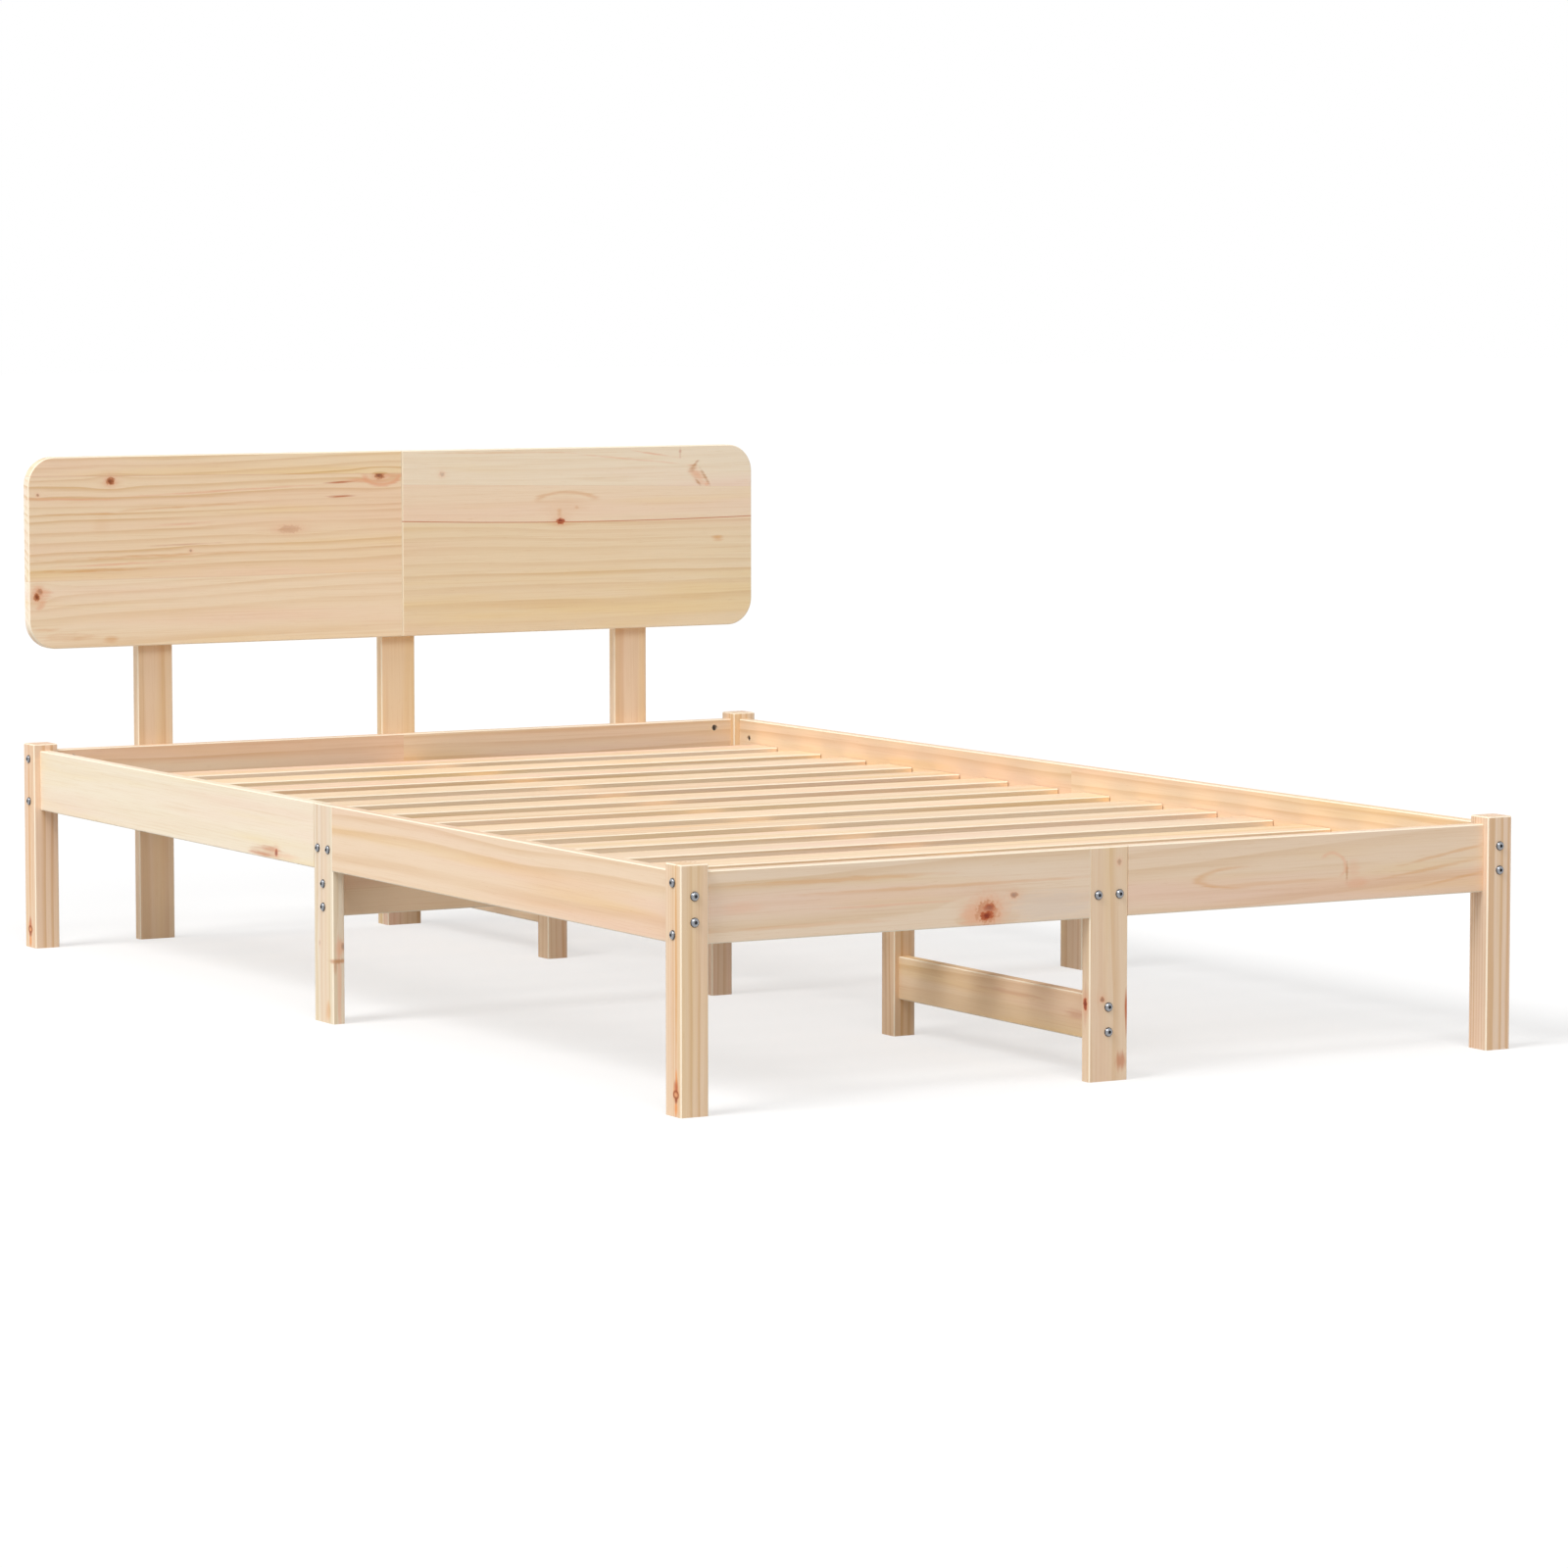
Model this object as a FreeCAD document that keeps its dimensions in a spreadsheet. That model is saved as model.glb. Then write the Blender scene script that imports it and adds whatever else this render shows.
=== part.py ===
import FreeCAD, Part
import Sketcher
import os
import re

# A slatted bed frame in solid pine: corner posts, split rails on middle legs, a centre beam and a headboard.
# Millimetres, +Z up, +Y towards the head. The origin is on the floor, under the middle of the whole frame.

# Driving sizes
SIZES = {
    # The frame over its corner posts
    "bed_length": 2055,
    "bed_width": 1255,
    "post_side": 39,
    "post_height": 310,
    "post_rise": 10,
    # Rails, and the middle legs that join their halves
    "rail_thick": 18,
    "rail_height": 90,
    "middle_leg_width": 58,
    # Boards and legs under the deck
    "beam_thick": 18,
    "beam_width": 58,
    "crossbeam_level": 175,
    "stretcher_level": 79,
    "centre_leg_side": 33,
    "centre_leg_spacing": 500,
    "leg_tenon_side": 18,
    "leg_tenon_long": 10,
    "rung_tenon_thick": 8,
    "rung_tenon_long": 12,
    "rung_tenon_shoulder": 8,
    "tenon_room": 0.2,
    # Headboard
    "headboard_height": 743,
    "panel_height": 290,
    "panel_thick": 18,
    "panel_round": 43,
    "upright_width": 58,
    "upright_thick": 18,
    "upright_drop": 43,
    "upright_offset": 414,
    # Ledgers and slats
    "ledger_thick": 18,
    "ledger_height": 36,
    "ledger_end_gap": 45,
    "notch_deep": 6,
    "notch_end_wall": 8,
    "slat_width": 70,
    "slat_thick": 15,
    "slat_room": 0.5,
    "slat_end_room": 1.5,
    # Chamfer of every arris
    "edge_chamfer": 1.5,
    # Bolts and their nuts
    "bolt_pitch": 32,
    "bolt_dia": 6,
    "bolt_room": 0.25,
    "bolt_head_dia": 12,
    "bolt_head_land": 7.4,
    "bolt_head_high": 3.3,
    "socket_across": 4,
    "socket_deep": 2,
    "long_bolt": 70,
    "short_bolt": 50,
    "ledger_bolt": 45,
    "tip_room": 1,
    "nut_dia": 10,
    "nut_long": 14,
    "nut_inset": 30,
    "nut_room": 0.15,
    "thread_room": 0.1,
    "hex_nut_across": 10,
    "hex_nut_thick": 5,
    # Wood screws
    "screw_dia": 4,
    "screw_long": 30,
    "screw_room": 0.2,
    "screw_head_dia": 8,
    "screw_head_high": 2.4,
}
SLAT_COUNT = 14
LEDGER_SCREW_SHARES = (0.28, 0.86)
PANEL_SCREW_SHARES = (0.25, 0.6)

# Bores, shanks and barrel nuts lie inside the wood, so they have few flats. The heads of bolts have more.
FLATS = 8
HEAD_FLATS = 12
HEX = 6

# Heights above the floor
RAIL_TOP = "(post_height - post_rise)"
RAIL_BOTTOM = f"({RAIL_TOP} - rail_height)"
RAIL_AXIS = f"({RAIL_TOP} - rail_height / 2)"
BEAM_AXIS = f"({RAIL_AXIS} - bolt_pitch / 2)"
BEAM_BOTTOM = f"({BEAM_AXIS} - beam_thick / 2)"
DECK = f"({BEAM_AXIS} + beam_thick / 2)"
LEDGER_BOTTOM = f"({DECK} + notch_deep - ledger_height)"
LEDGER_SCREW_LEVEL = f"(({LEDGER_BOTTOM} + {DECK}) / 2)"
PANEL_BOTTOM = "(headboard_height - panel_height)"
UPRIGHT_TOP = "(headboard_height - upright_drop)"

# Lines through the middle of the rails and posts, the inner faces of the rails, and the middle of the posts
SIDE_LINE = "(bed_width / 2 - post_side / 2)"
END_LINE = "(bed_length / 2 - post_side / 2)"
SIDE_FACE = f"({SIDE_LINE} - rail_thick / 2)"
END_FACE = f"({END_LINE} - rail_thick / 2)"
MIDDLE = "((post_side / 2 - rail_thick / 2 - upright_thick) / 2)"

# Lengths from the middle joint of a side to its post, and the run of the slats
END_REACH = "(bed_width / 2 - post_side)"
SIDE_REACH = "(bed_length / 2 - post_side)"
LEDGER_LONG = f"({SIDE_REACH} - ledger_end_gap)"
LAST_SLAT = f"({LEDGER_LONG} - notch_end_wall - slat_room - slat_width / 2)"
LAST_SLAT_STEPS = (SLAT_COUNT - 1) / 2
SLAT_PITCH = f"({LAST_SLAT} / {LAST_SLAT_STEPS})"

# Fits of the fasteners
BOLT_BORE = "(bolt_dia / 2 + bolt_room)"
THREAD_BORE = "(bolt_dia / 2 + thread_room)"
SCREW_BORE = "(screw_dia / 2 + screw_room)"
NUT_BORE = "(nut_dia / 2 + nut_room)"
OUTER_FACE = "(-rail_thick / 2)"
INNER_FACE = "(rail_thick / 2)"
UPRIGHT_FACE = "(-rail_thick / 2 - upright_thick)"
LEDGER_FACE = "(rail_thick / 2 + ledger_thick)"

# The sides of the bed: the turn of each, and where its middle joint stands. Local +Y points into the bed.
SIDES = {
    "foot": (0, "0", f"({MIDDLE} - {END_LINE})"),
    "right": (90, SIDE_LINE, MIDDLE),
    "head": (180, "0", f"({MIDDLE} + {END_LINE})"),
    "left": (-90, f"(-{SIDE_LINE})", MIDDLE),
}
PLUS_X = FreeCAD.Vector(1, 0, 0)
PLUS_Y = FreeCAD.Vector(0, 1, 0)
UP = FreeCAD.Vector(0, 0, 1)
FULL_TURN = 360
NEAR = 0.001
PARALLEL_SHARE = 0.99

# The sketcher's numbers for its root point, its axes and the start and end of a line
ROOT = -1
ROOT_POINT = 1
ACROSS_AXIS = -1
UPRIGHT_AXIS = -2
LINE_START = 1
LINE_END = 2

doc = FreeCAD.newDocument("BedFrame")
nodes = {}


def fill_sheet():
    """Writes each driving size to the sheet, with its name as the alias."""
    sheet = doc.addObject("Spreadsheet::Sheet", "Sizes")
    for row, (name, value) in enumerate(SIZES.items(), start=1):
        sheet.set(f"A{row}", name)
        sheet.set(f"B{row}", str(value))
        sheet.setAlias(f"B{row}", name)
    doc.recompute()


def bound(formula):
    """A formula of named sizes, with each name read from the sheet."""
    return re.sub(r"[a-z]\w*", lambda word: f"Sizes.{word.group()}", formula)


def bind(thing, **formulas):
    """Binds properties of an object to formulas of named sizes."""
    for name, formula in formulas.items():
        thing.setExpression(name, bound(formula))


def put(thing, at, rotation):
    """Gives an object its turn, and a place bound to three formulas."""
    thing.Placement = FreeCAD.Placement(FreeCAD.Vector(), rotation)
    for axis, formula in zip("xyz", at):
        thing.setExpression(f"Placement.Base.{axis}", bound(formula))


# Building blocks


def body(label, at=("0", "0", "0"), turn=0):
    """An empty body, at its place and turned about the upright."""
    part = doc.addObject("PartDesign::Body", label)
    part.Label = label
    put(part, at, FreeCAD.Rotation(UP, turn))
    return part


def piece(label, at, turn=0):
    """The body of a piece of the bed, which is written to a file of its own."""
    nodes[label] = body(label, at, turn)
    return nodes[label]


def side_piece(label, side, height="0"):
    """The body of a piece that is drawn in the frame of one side of the bed."""
    turn, across, along = SIDES[side]
    return piece(label, (across, along, height), turn)


def origin_item(part, role):
    """One of the planes or axes of a body's own origin."""
    return next(item for item in part.Origin.OriginFeatures if item.Role == role)


def box(part, low, size, cut=False):
    """A block that is added to or cut from a body, from its low corner."""
    kind = "SubtractiveBox" if cut else "AdditiveBox"
    block = part.newObject(f"PartDesign::{kind}", f"{part.Name}_{'cut' if cut else 'block'}")
    bind(block, Length=size[0], Width=size[1], Height=size[2])
    put(block, low, FreeCAD.Rotation())
    return block


def prism(part, flats, radius, at, along, length, cut=False):
    """A bar or hole with flats, from a point along a direction. The radius is to its corners."""
    kind = "SubtractivePrism" if cut else "AdditivePrism"
    bar = part.newObject(f"PartDesign::{kind}", f"{part.Name}_{'bore' if cut else 'bar'}")
    bar.Polygon = flats
    bind(bar, Circumradius=radius, Height=length)
    put(bar, at, FreeCAD.Rotation(UP, along))
    return bar


def bore(part, radius, at, along, depth):
    """A drilled hole that starts at a point and runs along a direction."""
    return prism(part, FLATS, radius, at, along, depth, cut=True)


def outline(part, role, corners):
    """A closed outline on one of the body's origin planes, with each corner bound to two formulas."""
    sketch = part.newObject("Sketcher::SketchObject", f"{part.Name}_outline")
    sketch.AttachmentSupport = [(origin_item(part, role), "")]
    sketch.MapMode = "FlatFace"
    count = len(corners)
    guesses = [FreeCAD.Rotation(UP, FULL_TURN * index / count).multVec(PLUS_X) for index in range(count)]
    for index in range(count):
        sketch.addGeometry(Part.LineSegment(guesses[index - 1], guesses[index]))
    for index in range(count):
        previous = (index - 1) % count
        sketch.addConstraint(Sketcher.Constraint("Coincident", previous, LINE_END, index, LINE_START))
    for index, corner in enumerate(corners):
        tie_corner(sketch, index, guesses[index - 1], corner)
    return sketch


def tie_corner(sketch, line, guess, corner):
    """Ties the start of a line to its two formulas, or to an axis where a formula is zero."""
    rules = (("DistanceX", guess.x, UPRIGHT_AXIS, corner[0]), ("DistanceY", guess.y, ACROSS_AXIS, corner[1]))
    for kind, value, axis, formula in rules:
        if formula == "0":
            sketch.addConstraint(Sketcher.Constraint("PointOnObject", line, LINE_START, axis))
        else:
            rule = Sketcher.Constraint(kind, ROOT, ROOT_POINT, line, LINE_START, value)
            number = sketch.addConstraint(rule)
            sketch.setExpression(f"Constraints[{number}]", bound(formula))


def pad(part, sketch, length, midplane=False):
    """Raises an outline into a board."""
    board = part.newObject("PartDesign::Pad", f"{part.Name}_pad")
    board.Profile = sketch
    board.Midplane = midplane
    bind(board, Length=length)
    return board


def soften(part, base, keep, size="edge_chamfer", kind="Chamfer"):
    """Chamfers or rounds the edges that keep(edge middle, edge direction) picks."""
    doc.recompute()
    names = []
    for number, edge in enumerate(base.Shape.Edges, start=1):
        middle = (edge.Vertexes[0].Point + edge.Vertexes[-1].Point) / 2
        if keep(middle, edge.tangentAt(edge.FirstParameter)):
            names.append(f"Edge{number}")
    arris = part.newObject(f"PartDesign::{kind}", f"{part.Name}_arris")
    arris.Base = (base, names)
    bind(arris, **{"Radius" if kind == "Fillet" else "Size": size})
    return arris


def lies_along(direction, axis):
    """Whether an edge lies along an axis."""
    return abs(direction.dot(axis)) > PARALLEL_SHARE


def chamfered_board(part, low, size, axis):
    """A board with its long arrises chamfered."""
    block = box(part, low, size)
    soften(part, block, lambda middle, direction: lies_along(direction, axis))


def both(formula):
    """A formula and its opposite."""
    return formula, f"-{formula}"


# Posts, rails and middle legs


def corner_post(label, side_x, side_y):
    """A square post, bored for two bolts into the end rail and two into the side rail."""
    post = piece(label, (f"{side_x} * {SIDE_LINE}", f"{MIDDLE} + {side_y} * {END_LINE}", "0"))
    low = "-post_side / 2"
    block = box(post, (low, low, "0"), ("post_side", "post_side", "post_height"))
    soften(post, block, lambda middle, direction: middle.z > NEAR)
    for shift in both("bolt_pitch"):
        bore(post, BOLT_BORE, (low, "0", f"{RAIL_AXIS} + {shift}"), PLUS_X, "post_side")
    for shift in both("bolt_pitch / 2"):
        bore(post, BOLT_BORE, ("0", low, f"{RAIL_AXIS} + {shift}"), PLUS_Y, "post_side")


def rail_half(label, side, hand, reach, spread):
    """Half a rail. One end takes two bolts with barrel nuts, and the other is halved over a middle leg."""
    rail = side_piece(label, side, RAIL_BOTTOM)
    end = f"{hand} * {reach}"
    shoulder = f"{hand} * middle_leg_width / 2"
    sketch = outline(rail, "XY_Plane", [("0", "0"), ("0", INNER_FACE), (end, INNER_FACE), (end, OUTER_FACE),
                                        (shoulder, OUTER_FACE), (shoulder, "0")])
    board = pad(rail, sketch, "rail_height")
    soften(rail, board, lambda middle, direction: lies_along(direction, PLUS_X) and abs(middle.y) > NEAR)
    for shift in both(spread):
        nut_joint(rail, (end, "0", f"rail_height / 2 + {shift}"), PLUS_X * -hand, PLUS_Y,
                  "rail_thick", "(long_bolt - post_side)")
    tongue_bore = (f"{hand} * bolt_pitch / 2", "0", f"{BEAM_AXIS} - {RAIL_BOTTOM}")
    bore(rail, BOLT_BORE, tongue_bore, PLUS_Y, INNER_FACE)
    return rail


def nut_joint(part, at, along, nut_way, thick, reach):
    """Bores the end of a board for a bolt at mid thickness, and one of its faces for the barrel nut."""
    bore(part, BOLT_BORE, at, along, f"({reach} + tip_room)")
    mouth = [f"{place} + {step} * nut_inset + {way} * {thick} / 2"
             for place, step, way in zip(at, along, nut_way)]
    bore(part, NUT_BORE, mouth, nut_way * -1, f"({thick} / 2 + nut_long / 2)")


def middle_leg(label, side, level):
    """A board on end whose top is halved for the tongues of two rails, bored for the beams behind it."""
    leg = side_piece(label, side)
    sketch = outline(leg, "YZ_Plane", [(OUTER_FACE, "0"), (INNER_FACE, "0"), (INNER_FACE, RAIL_BOTTOM),
                                       ("0", RAIL_BOTTOM), ("0", RAIL_TOP), (OUTER_FACE, RAIL_TOP)])
    board = pad(leg, sketch, "middle_leg_width", midplane=True)
    soften(leg, board, is_leg_arris)
    for across in both("bolt_pitch / 2"):
        bore(leg, BOLT_BORE, (across, OUTER_FACE, BEAM_AXIS), PLUS_Y, "rail_thick / 2")
        bore(leg, BOLT_BORE, ("0", OUTER_FACE, f"{level} + {across}"), PLUS_Y, "rail_thick")


def is_leg_arris(middle, direction):
    """The upright arrises of a middle leg, apart from those in the lap, and its outer top arris."""
    if lies_along(direction, UP):
        return abs(middle.y) > NEAR
    return lies_along(direction, PLUS_X) and middle.y < -NEAR and middle.z > NEAR


# Beams and legs under the deck


def centre_beam_half(label, turn, reach):
    """A flat board from the middle of the bed to an end, with mortises for the tenons of the centre legs."""
    beam = piece(label, ("0", MIDDLE, BEAM_AXIS), turn)
    low = ("0", "-beam_width / 2", "-beam_thick / 2")
    chamfered_board(beam, low, (END_FACE, "beam_width", "beam_thick"), PLUS_X)
    half = "(leg_tenon_side / 2 + tenon_room)"
    deep = "(leg_tenon_long + tenon_room)"
    box(beam, ("0", f"-{half}", "-beam_thick / 2"), (half, f"2 * {half}", deep), cut=True)
    box(beam, (f"centre_leg_spacing - {half}", f"-{half}", "-beam_thick / 2"),
        (f"2 * {half}", f"2 * {half}", deep), cut=True)
    for across in both("bolt_pitch / 2"):
        nut_joint(beam, (END_FACE, across, "0"), -PLUS_X, -UP, "beam_thick", reach)


def centre_leg(label, step, mortise_ways):
    """A square leg with a tenon into the centre beam, and a mortise for each rung that it holds."""
    leg = piece(label, ("0", f"{MIDDLE} + {step} * centre_leg_spacing", "0"))
    low = "-centre_leg_side / 2"
    chamfered_board(leg, (low, low, "0"), ("centre_leg_side", "centre_leg_side", BEAM_BOTTOM), UP)
    box(leg, ("-leg_tenon_side / 2", "-leg_tenon_side / 2", BEAM_BOTTOM),
        ("leg_tenon_side", "leg_tenon_side", "leg_tenon_long"))
    level = "stretcher_level" if step else "crossbeam_level"
    deep = "(rung_tenon_long + tenon_room)"
    wide = "(rung_tenon_thick + 2 * tenon_room)"
    high = "(beam_width - 2 * rung_tenon_shoulder + 2 * tenon_room)"
    for way in mortise_ways:
        size = (deep if way.x else wide, deep if way.y else wide, high)
        middle = [f"{part_way} * (centre_leg_side / 2 - {deep} / 2)" for part_way in way[:2]]
        low = [f"{place} - {width} / 2" for place, width in zip(middle + [level], size)]
        box(leg, low, size, cut=True)


def rung(label, at, turn, length, nut_way, reach):
    """A board on edge, bolted at one end to a middle leg and tenoned at the other into a centre leg."""
    board = piece(label, at, turn)
    low = ("0", "-beam_thick / 2", "-beam_width / 2")
    chamfered_board(board, low, (length, "beam_thick", "beam_width"), PLUS_X)
    box(board, (length, "-rung_tenon_thick / 2", "rung_tenon_shoulder - beam_width / 2"),
        ("rung_tenon_long", "rung_tenon_thick", "beam_width - 2 * rung_tenon_shoulder"))
    for shift in both("bolt_pitch / 2"):
        nut_joint(board, ("0", "0", shift), PLUS_X, nut_way, "beam_thick", reach)


# Deck


def ledger_half(label, side, hand):
    """A strip on the inner face of a side rail, notched for the ends of the slats."""
    ledger = side_piece(label, side, LEDGER_BOTTOM)
    low_x = "0" if hand > 0 else f"-{LEDGER_LONG}"
    chamfered_board(ledger, (low_x, INNER_FACE, "0"), (LEDGER_LONG, "ledger_thick", "ledger_height"), PLUS_X)
    notch_half = "(slat_width / 2 + slat_room)"
    first = f"{hand} * {SLAT_PITCH} / 2 - {notch_half}"
    notch = box(ledger, (first, INNER_FACE, "ledger_height - notch_deep"),
                (f"2 * {notch_half}", "ledger_thick", "notch_deep"), cut=True)
    notches = ledger.newObject("PartDesign::LinearPattern", f"{label}_notches")
    notches.Originals = [notch]
    notches.Direction = (origin_item(ledger, "X_Axis"), [""])
    notches.Reversed = hand < 0
    notches.Occurrences = SLAT_COUNT // 2
    bind(notches, Length=f"{SLAT_PITCH} * {SLAT_COUNT // 2 - 1}")
    ledger.Tip = notches
    bore(ledger, BOLT_BORE, (f"{hand} * bolt_pitch / 2", INNER_FACE, f"{BEAM_AXIS} - {LEDGER_BOTTOM}"),
         PLUS_Y, "ledger_thick")
    for share in LEDGER_SCREW_SHARES:
        bore(ledger, SCREW_BORE, (f"{hand} * {share} * {LEDGER_LONG}", INNER_FACE,
                                  f"{LEDGER_SCREW_LEVEL} - {LEDGER_BOTTOM}"), PLUS_Y, "ledger_thick")


def slat(label, step):
    """A board across the bed, in the notches of both ledgers and on the centre beam."""
    board = piece(label, ("0", f"{MIDDLE} + {step} * {SLAT_PITCH}", DECK))
    half = f"({SIDE_FACE} - slat_end_room)"
    low = (f"-{half}", "-slat_width / 2", "0")
    chamfered_board(board, low, (f"2 * {half}", "slat_width", "slat_thick"), PLUS_X)


# Headboard


def panel(label, hand):
    """Half of the headboard, a board with rounded outer corners, flush with the back of the head rail."""
    board = side_piece(label, "head", PANEL_BOTTOM)
    low_x = "0" if hand > 0 else "-bed_width / 2"
    block = box(board, (low_x, OUTER_FACE, "0"), ("bed_width / 2", "panel_thick", "panel_height"))
    corners = soften(board, block, is_outer_corner, "panel_round", "Fillet")
    soften(board, corners, lambda middle, direction: not lies_along(direction, PLUS_Y))
    for share in PANEL_SCREW_SHARES:
        for across in ("bolt_pitch / 2", "upright_offset"):
            bore(board, SCREW_BORE, (f"{hand} * {across}", OUTER_FACE, f"{share} * panel_height"),
                 PLUS_Y, "(screw_long - upright_thick + screw_room)")


def is_outer_corner(middle, direction):
    """The edges through a headboard panel at its outer corners."""
    return lies_along(direction, PLUS_Y) and abs(middle.x) > NEAR


def upright(label, step):
    """A board from the floor to the headboard, behind the head rail."""
    board = side_piece(label, "head")
    middle = f"{step} * upright_offset"
    block = box(board, (f"{middle} - upright_width / 2", UPRIGHT_FACE, "0"),
                ("upright_width", "upright_thick", UPRIGHT_TOP))
    soften(board, block, lambda middle, direction: lies_along(direction, UP))
    for radius, (across, along, height) in upright_bores(step):
        bore(board, radius, (across, along, height), PLUS_Y, "upright_thick")


def upright_bores(step):
    """The holes through an upright, as a radius and a place each."""
    middle = f"{step} * upright_offset"
    pair = [f"{middle} + {shift}" for shift in both("bolt_pitch / 2")]
    levels = [f"stretcher_level + {shift}" for shift in both("bolt_pitch / 2")]
    rows = [f"{PANEL_BOTTOM} + {share} * panel_height" for share in PANEL_SCREW_SHARES]
    if step:
        return [(SCREW_BORE, (across, UPRIGHT_FACE, RAIL_AXIS)) for across in pair] + [
            (SCREW_BORE, (middle, UPRIGHT_FACE, row)) for row in rows]
    return [(BOLT_BORE, (across, UPRIGHT_FACE, BEAM_AXIS)) for across in pair] + [
        (BOLT_BORE, (middle, UPRIGHT_FACE, level)) for level in levels] + [
        (SCREW_BORE, (across, UPRIGHT_FACE, row)) for across in pair for row in rows]


# Fasteners


def bolt(label, length):
    """A bolt with a bevelled head on the floor plane, its shank below, and a hexagon socket in its head."""
    part = body(label)
    prism(part, FLATS, "bolt_dia / 2", ("0", "0", f"-{length}"), UP, length)
    head = prism(part, HEAD_FLATS, "bolt_head_dia / 2", ("0", "0", "0"), UP, "bolt_head_high")
    soften(part, head, lambda middle, direction: middle.z > NEAR and not lies_along(direction, UP),
           "(bolt_head_dia - bolt_head_land) / 2")
    socket_floor = ("0", "0", "bolt_head_high - socket_deep")
    prism(part, HEX, "socket_across / 3 ^ 0.5", socket_floor, UP, "socket_deep", cut=True)
    return part


def barrel_nut(label):
    """A short bar with a threaded hole across it, centred on the origin."""
    part = body(label)
    prism(part, FLATS, "nut_dia / 2", ("0", "0", "-nut_long / 2"), UP, "nut_long")
    bore(part, THREAD_BORE, ("-nut_dia / 2", "0", "0"), PLUS_X, "nut_dia")
    return part


def hex_nut(label):
    """A plain nut on the floor plane."""
    part = body(label)
    prism(part, HEX, "hex_nut_across / 3 ^ 0.5", ("0", "0", "0"), UP, "hex_nut_thick")
    bore(part, THREAD_BORE, ("0", "0", "0"), UP, "hex_nut_thick")
    return part


def wood_screw(label):
    """A pan-head screw with its head on the floor plane."""
    part = body(label)
    prism(part, FLATS, "screw_dia / 2", ("0", "0", "-screw_long"), UP, "screw_long")
    prism(part, FLATS, "screw_head_dia / 2", ("0", "0", "0"), UP, "screw_head_high")
    return part


def group(label, master, places):
    """Copies of one fastener in one node. A place is a point, the way the head faces, and a cross way."""
    copies = []
    for at, outward, cross in places:
        copy = doc.addObject("App::Link", f"{label}_copy")
        copy.LinkedObject = master
        put(copy, at, FreeCAD.Rotation(cross, FreeCAD.Vector(), outward, "ZXY"))
        copies.append(copy)
    nodes[label] = doc.addObject("Part::Compound", label)
    nodes[label].Label = label
    nodes[label].Links = copies


def on_side(side, across, along, height, way, cross):
    """A place in the frame of one side of the bed, as a place in the bed."""
    turn, middle_x, middle_y = SIDES[side]
    rotation = FreeCAD.Rotation(UP, turn)
    local_x = rotation.multVec(PLUS_X)
    local_y = rotation.multVec(PLUS_Y)
    place = (f"{middle_x} + {round(local_x.x)} * ({across}) + {round(local_y.x)} * ({along})",
             f"{middle_y} + {round(local_x.y)} * ({across}) + {round(local_y.y)} * ({along})", height)
    return place, rotation.multVec(way), rotation.multVec(cross)


def corner_places(depth):
    """The bolts of the corner posts, two along X and two along Y at each, at a depth below their faces."""
    places = []
    for side_x in (-1, 1):
        for side_y in (-1, 1):
            for shift in both("bolt_pitch"):
                at = (f"{side_x} * (bed_width / 2 - {depth})", f"{MIDDLE} + {side_y} * {END_LINE}",
                      f"{RAIL_AXIS} + {shift}")
                places.append((at, PLUS_X * side_x, PLUS_Y * side_y))
            for shift in both("bolt_pitch / 2"):
                at = (f"{side_x} * {SIDE_LINE}", f"{MIDDLE} + {side_y} * (bed_length / 2 - {depth})",
                      f"{RAIL_AXIS} + {shift}")
                places.append((at, PLUS_Y * side_y, PLUS_X * side_x))
    return places


def beam_places(side, along, way):
    """Two places side by side at the level of the centre beam."""
    return [on_side(side, across, along, BEAM_AXIS, way, UP) for across in both("bolt_pitch / 2")]


def rung_places(side, along, level, way):
    """Two places one above the other at the level of a rung."""
    return [on_side(side, "0", along, f"{level} + {shift}", way, PLUS_X) for shift in both("bolt_pitch / 2")]


def nut_places(places):
    """The places of barrel nuts whose bolts have the given places: the nut lies across its bolt."""
    return [(at, cross, outward) for at, outward, cross in places]


def ledger_screw_places(side):
    """The screws of the two ledgers on one side of the bed."""
    return [on_side(side, f"{hand} * {share} * {LEDGER_LONG}", LEDGER_FACE, LEDGER_SCREW_LEVEL, PLUS_Y, UP)
            for hand in (-1, 1) for share in LEDGER_SCREW_SHARES]


def upright_places(radius):
    """The fasteners on the back of the uprights whose bores have the given radius."""
    return [on_side("head", *place, -PLUS_Y, UP) for step in (-1, 0, 1)
            for bore_radius, place in upright_bores(step) if bore_radius == radius]


# The whole bed


def add_posts_and_rails():
    """Four posts, and on each side of the bed two rail halves on a middle leg."""
    for end, side_y in (("foot", -1), ("head", 1)):
        for flank, side_x in (("left", -1), ("right", 1)):
            corner_post(f"corner_post_{end}_{flank}", side_x, side_y)
    for end, hands in (("foot", {"left": -1, "right": 1}), ("head", {"left": 1, "right": -1})):
        for flank, hand in hands.items():
            rail = rail_half(f"{end}_rail_{flank}", end, hand, END_REACH, "bolt_pitch")
            if end == "head":
                bore_for_upright(rail, hand)
        middle_leg(f"middle_leg_{end}", end, "stretcher_level")
    for flank, hands in (("left", {"foot": 1, "head": -1}), ("right", {"foot": -1, "head": 1})):
        for end, hand in hands.items():
            rail = rail_half(f"side_rail_{flank}_{end}", flank, hand, SIDE_REACH, "bolt_pitch / 2")
            bore_for_ledger(rail, hand)
            ledger_half(f"ledger_{flank}_{end}", flank, hand)
        middle_leg(f"middle_leg_{flank}", flank, "crossbeam_level")


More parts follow.
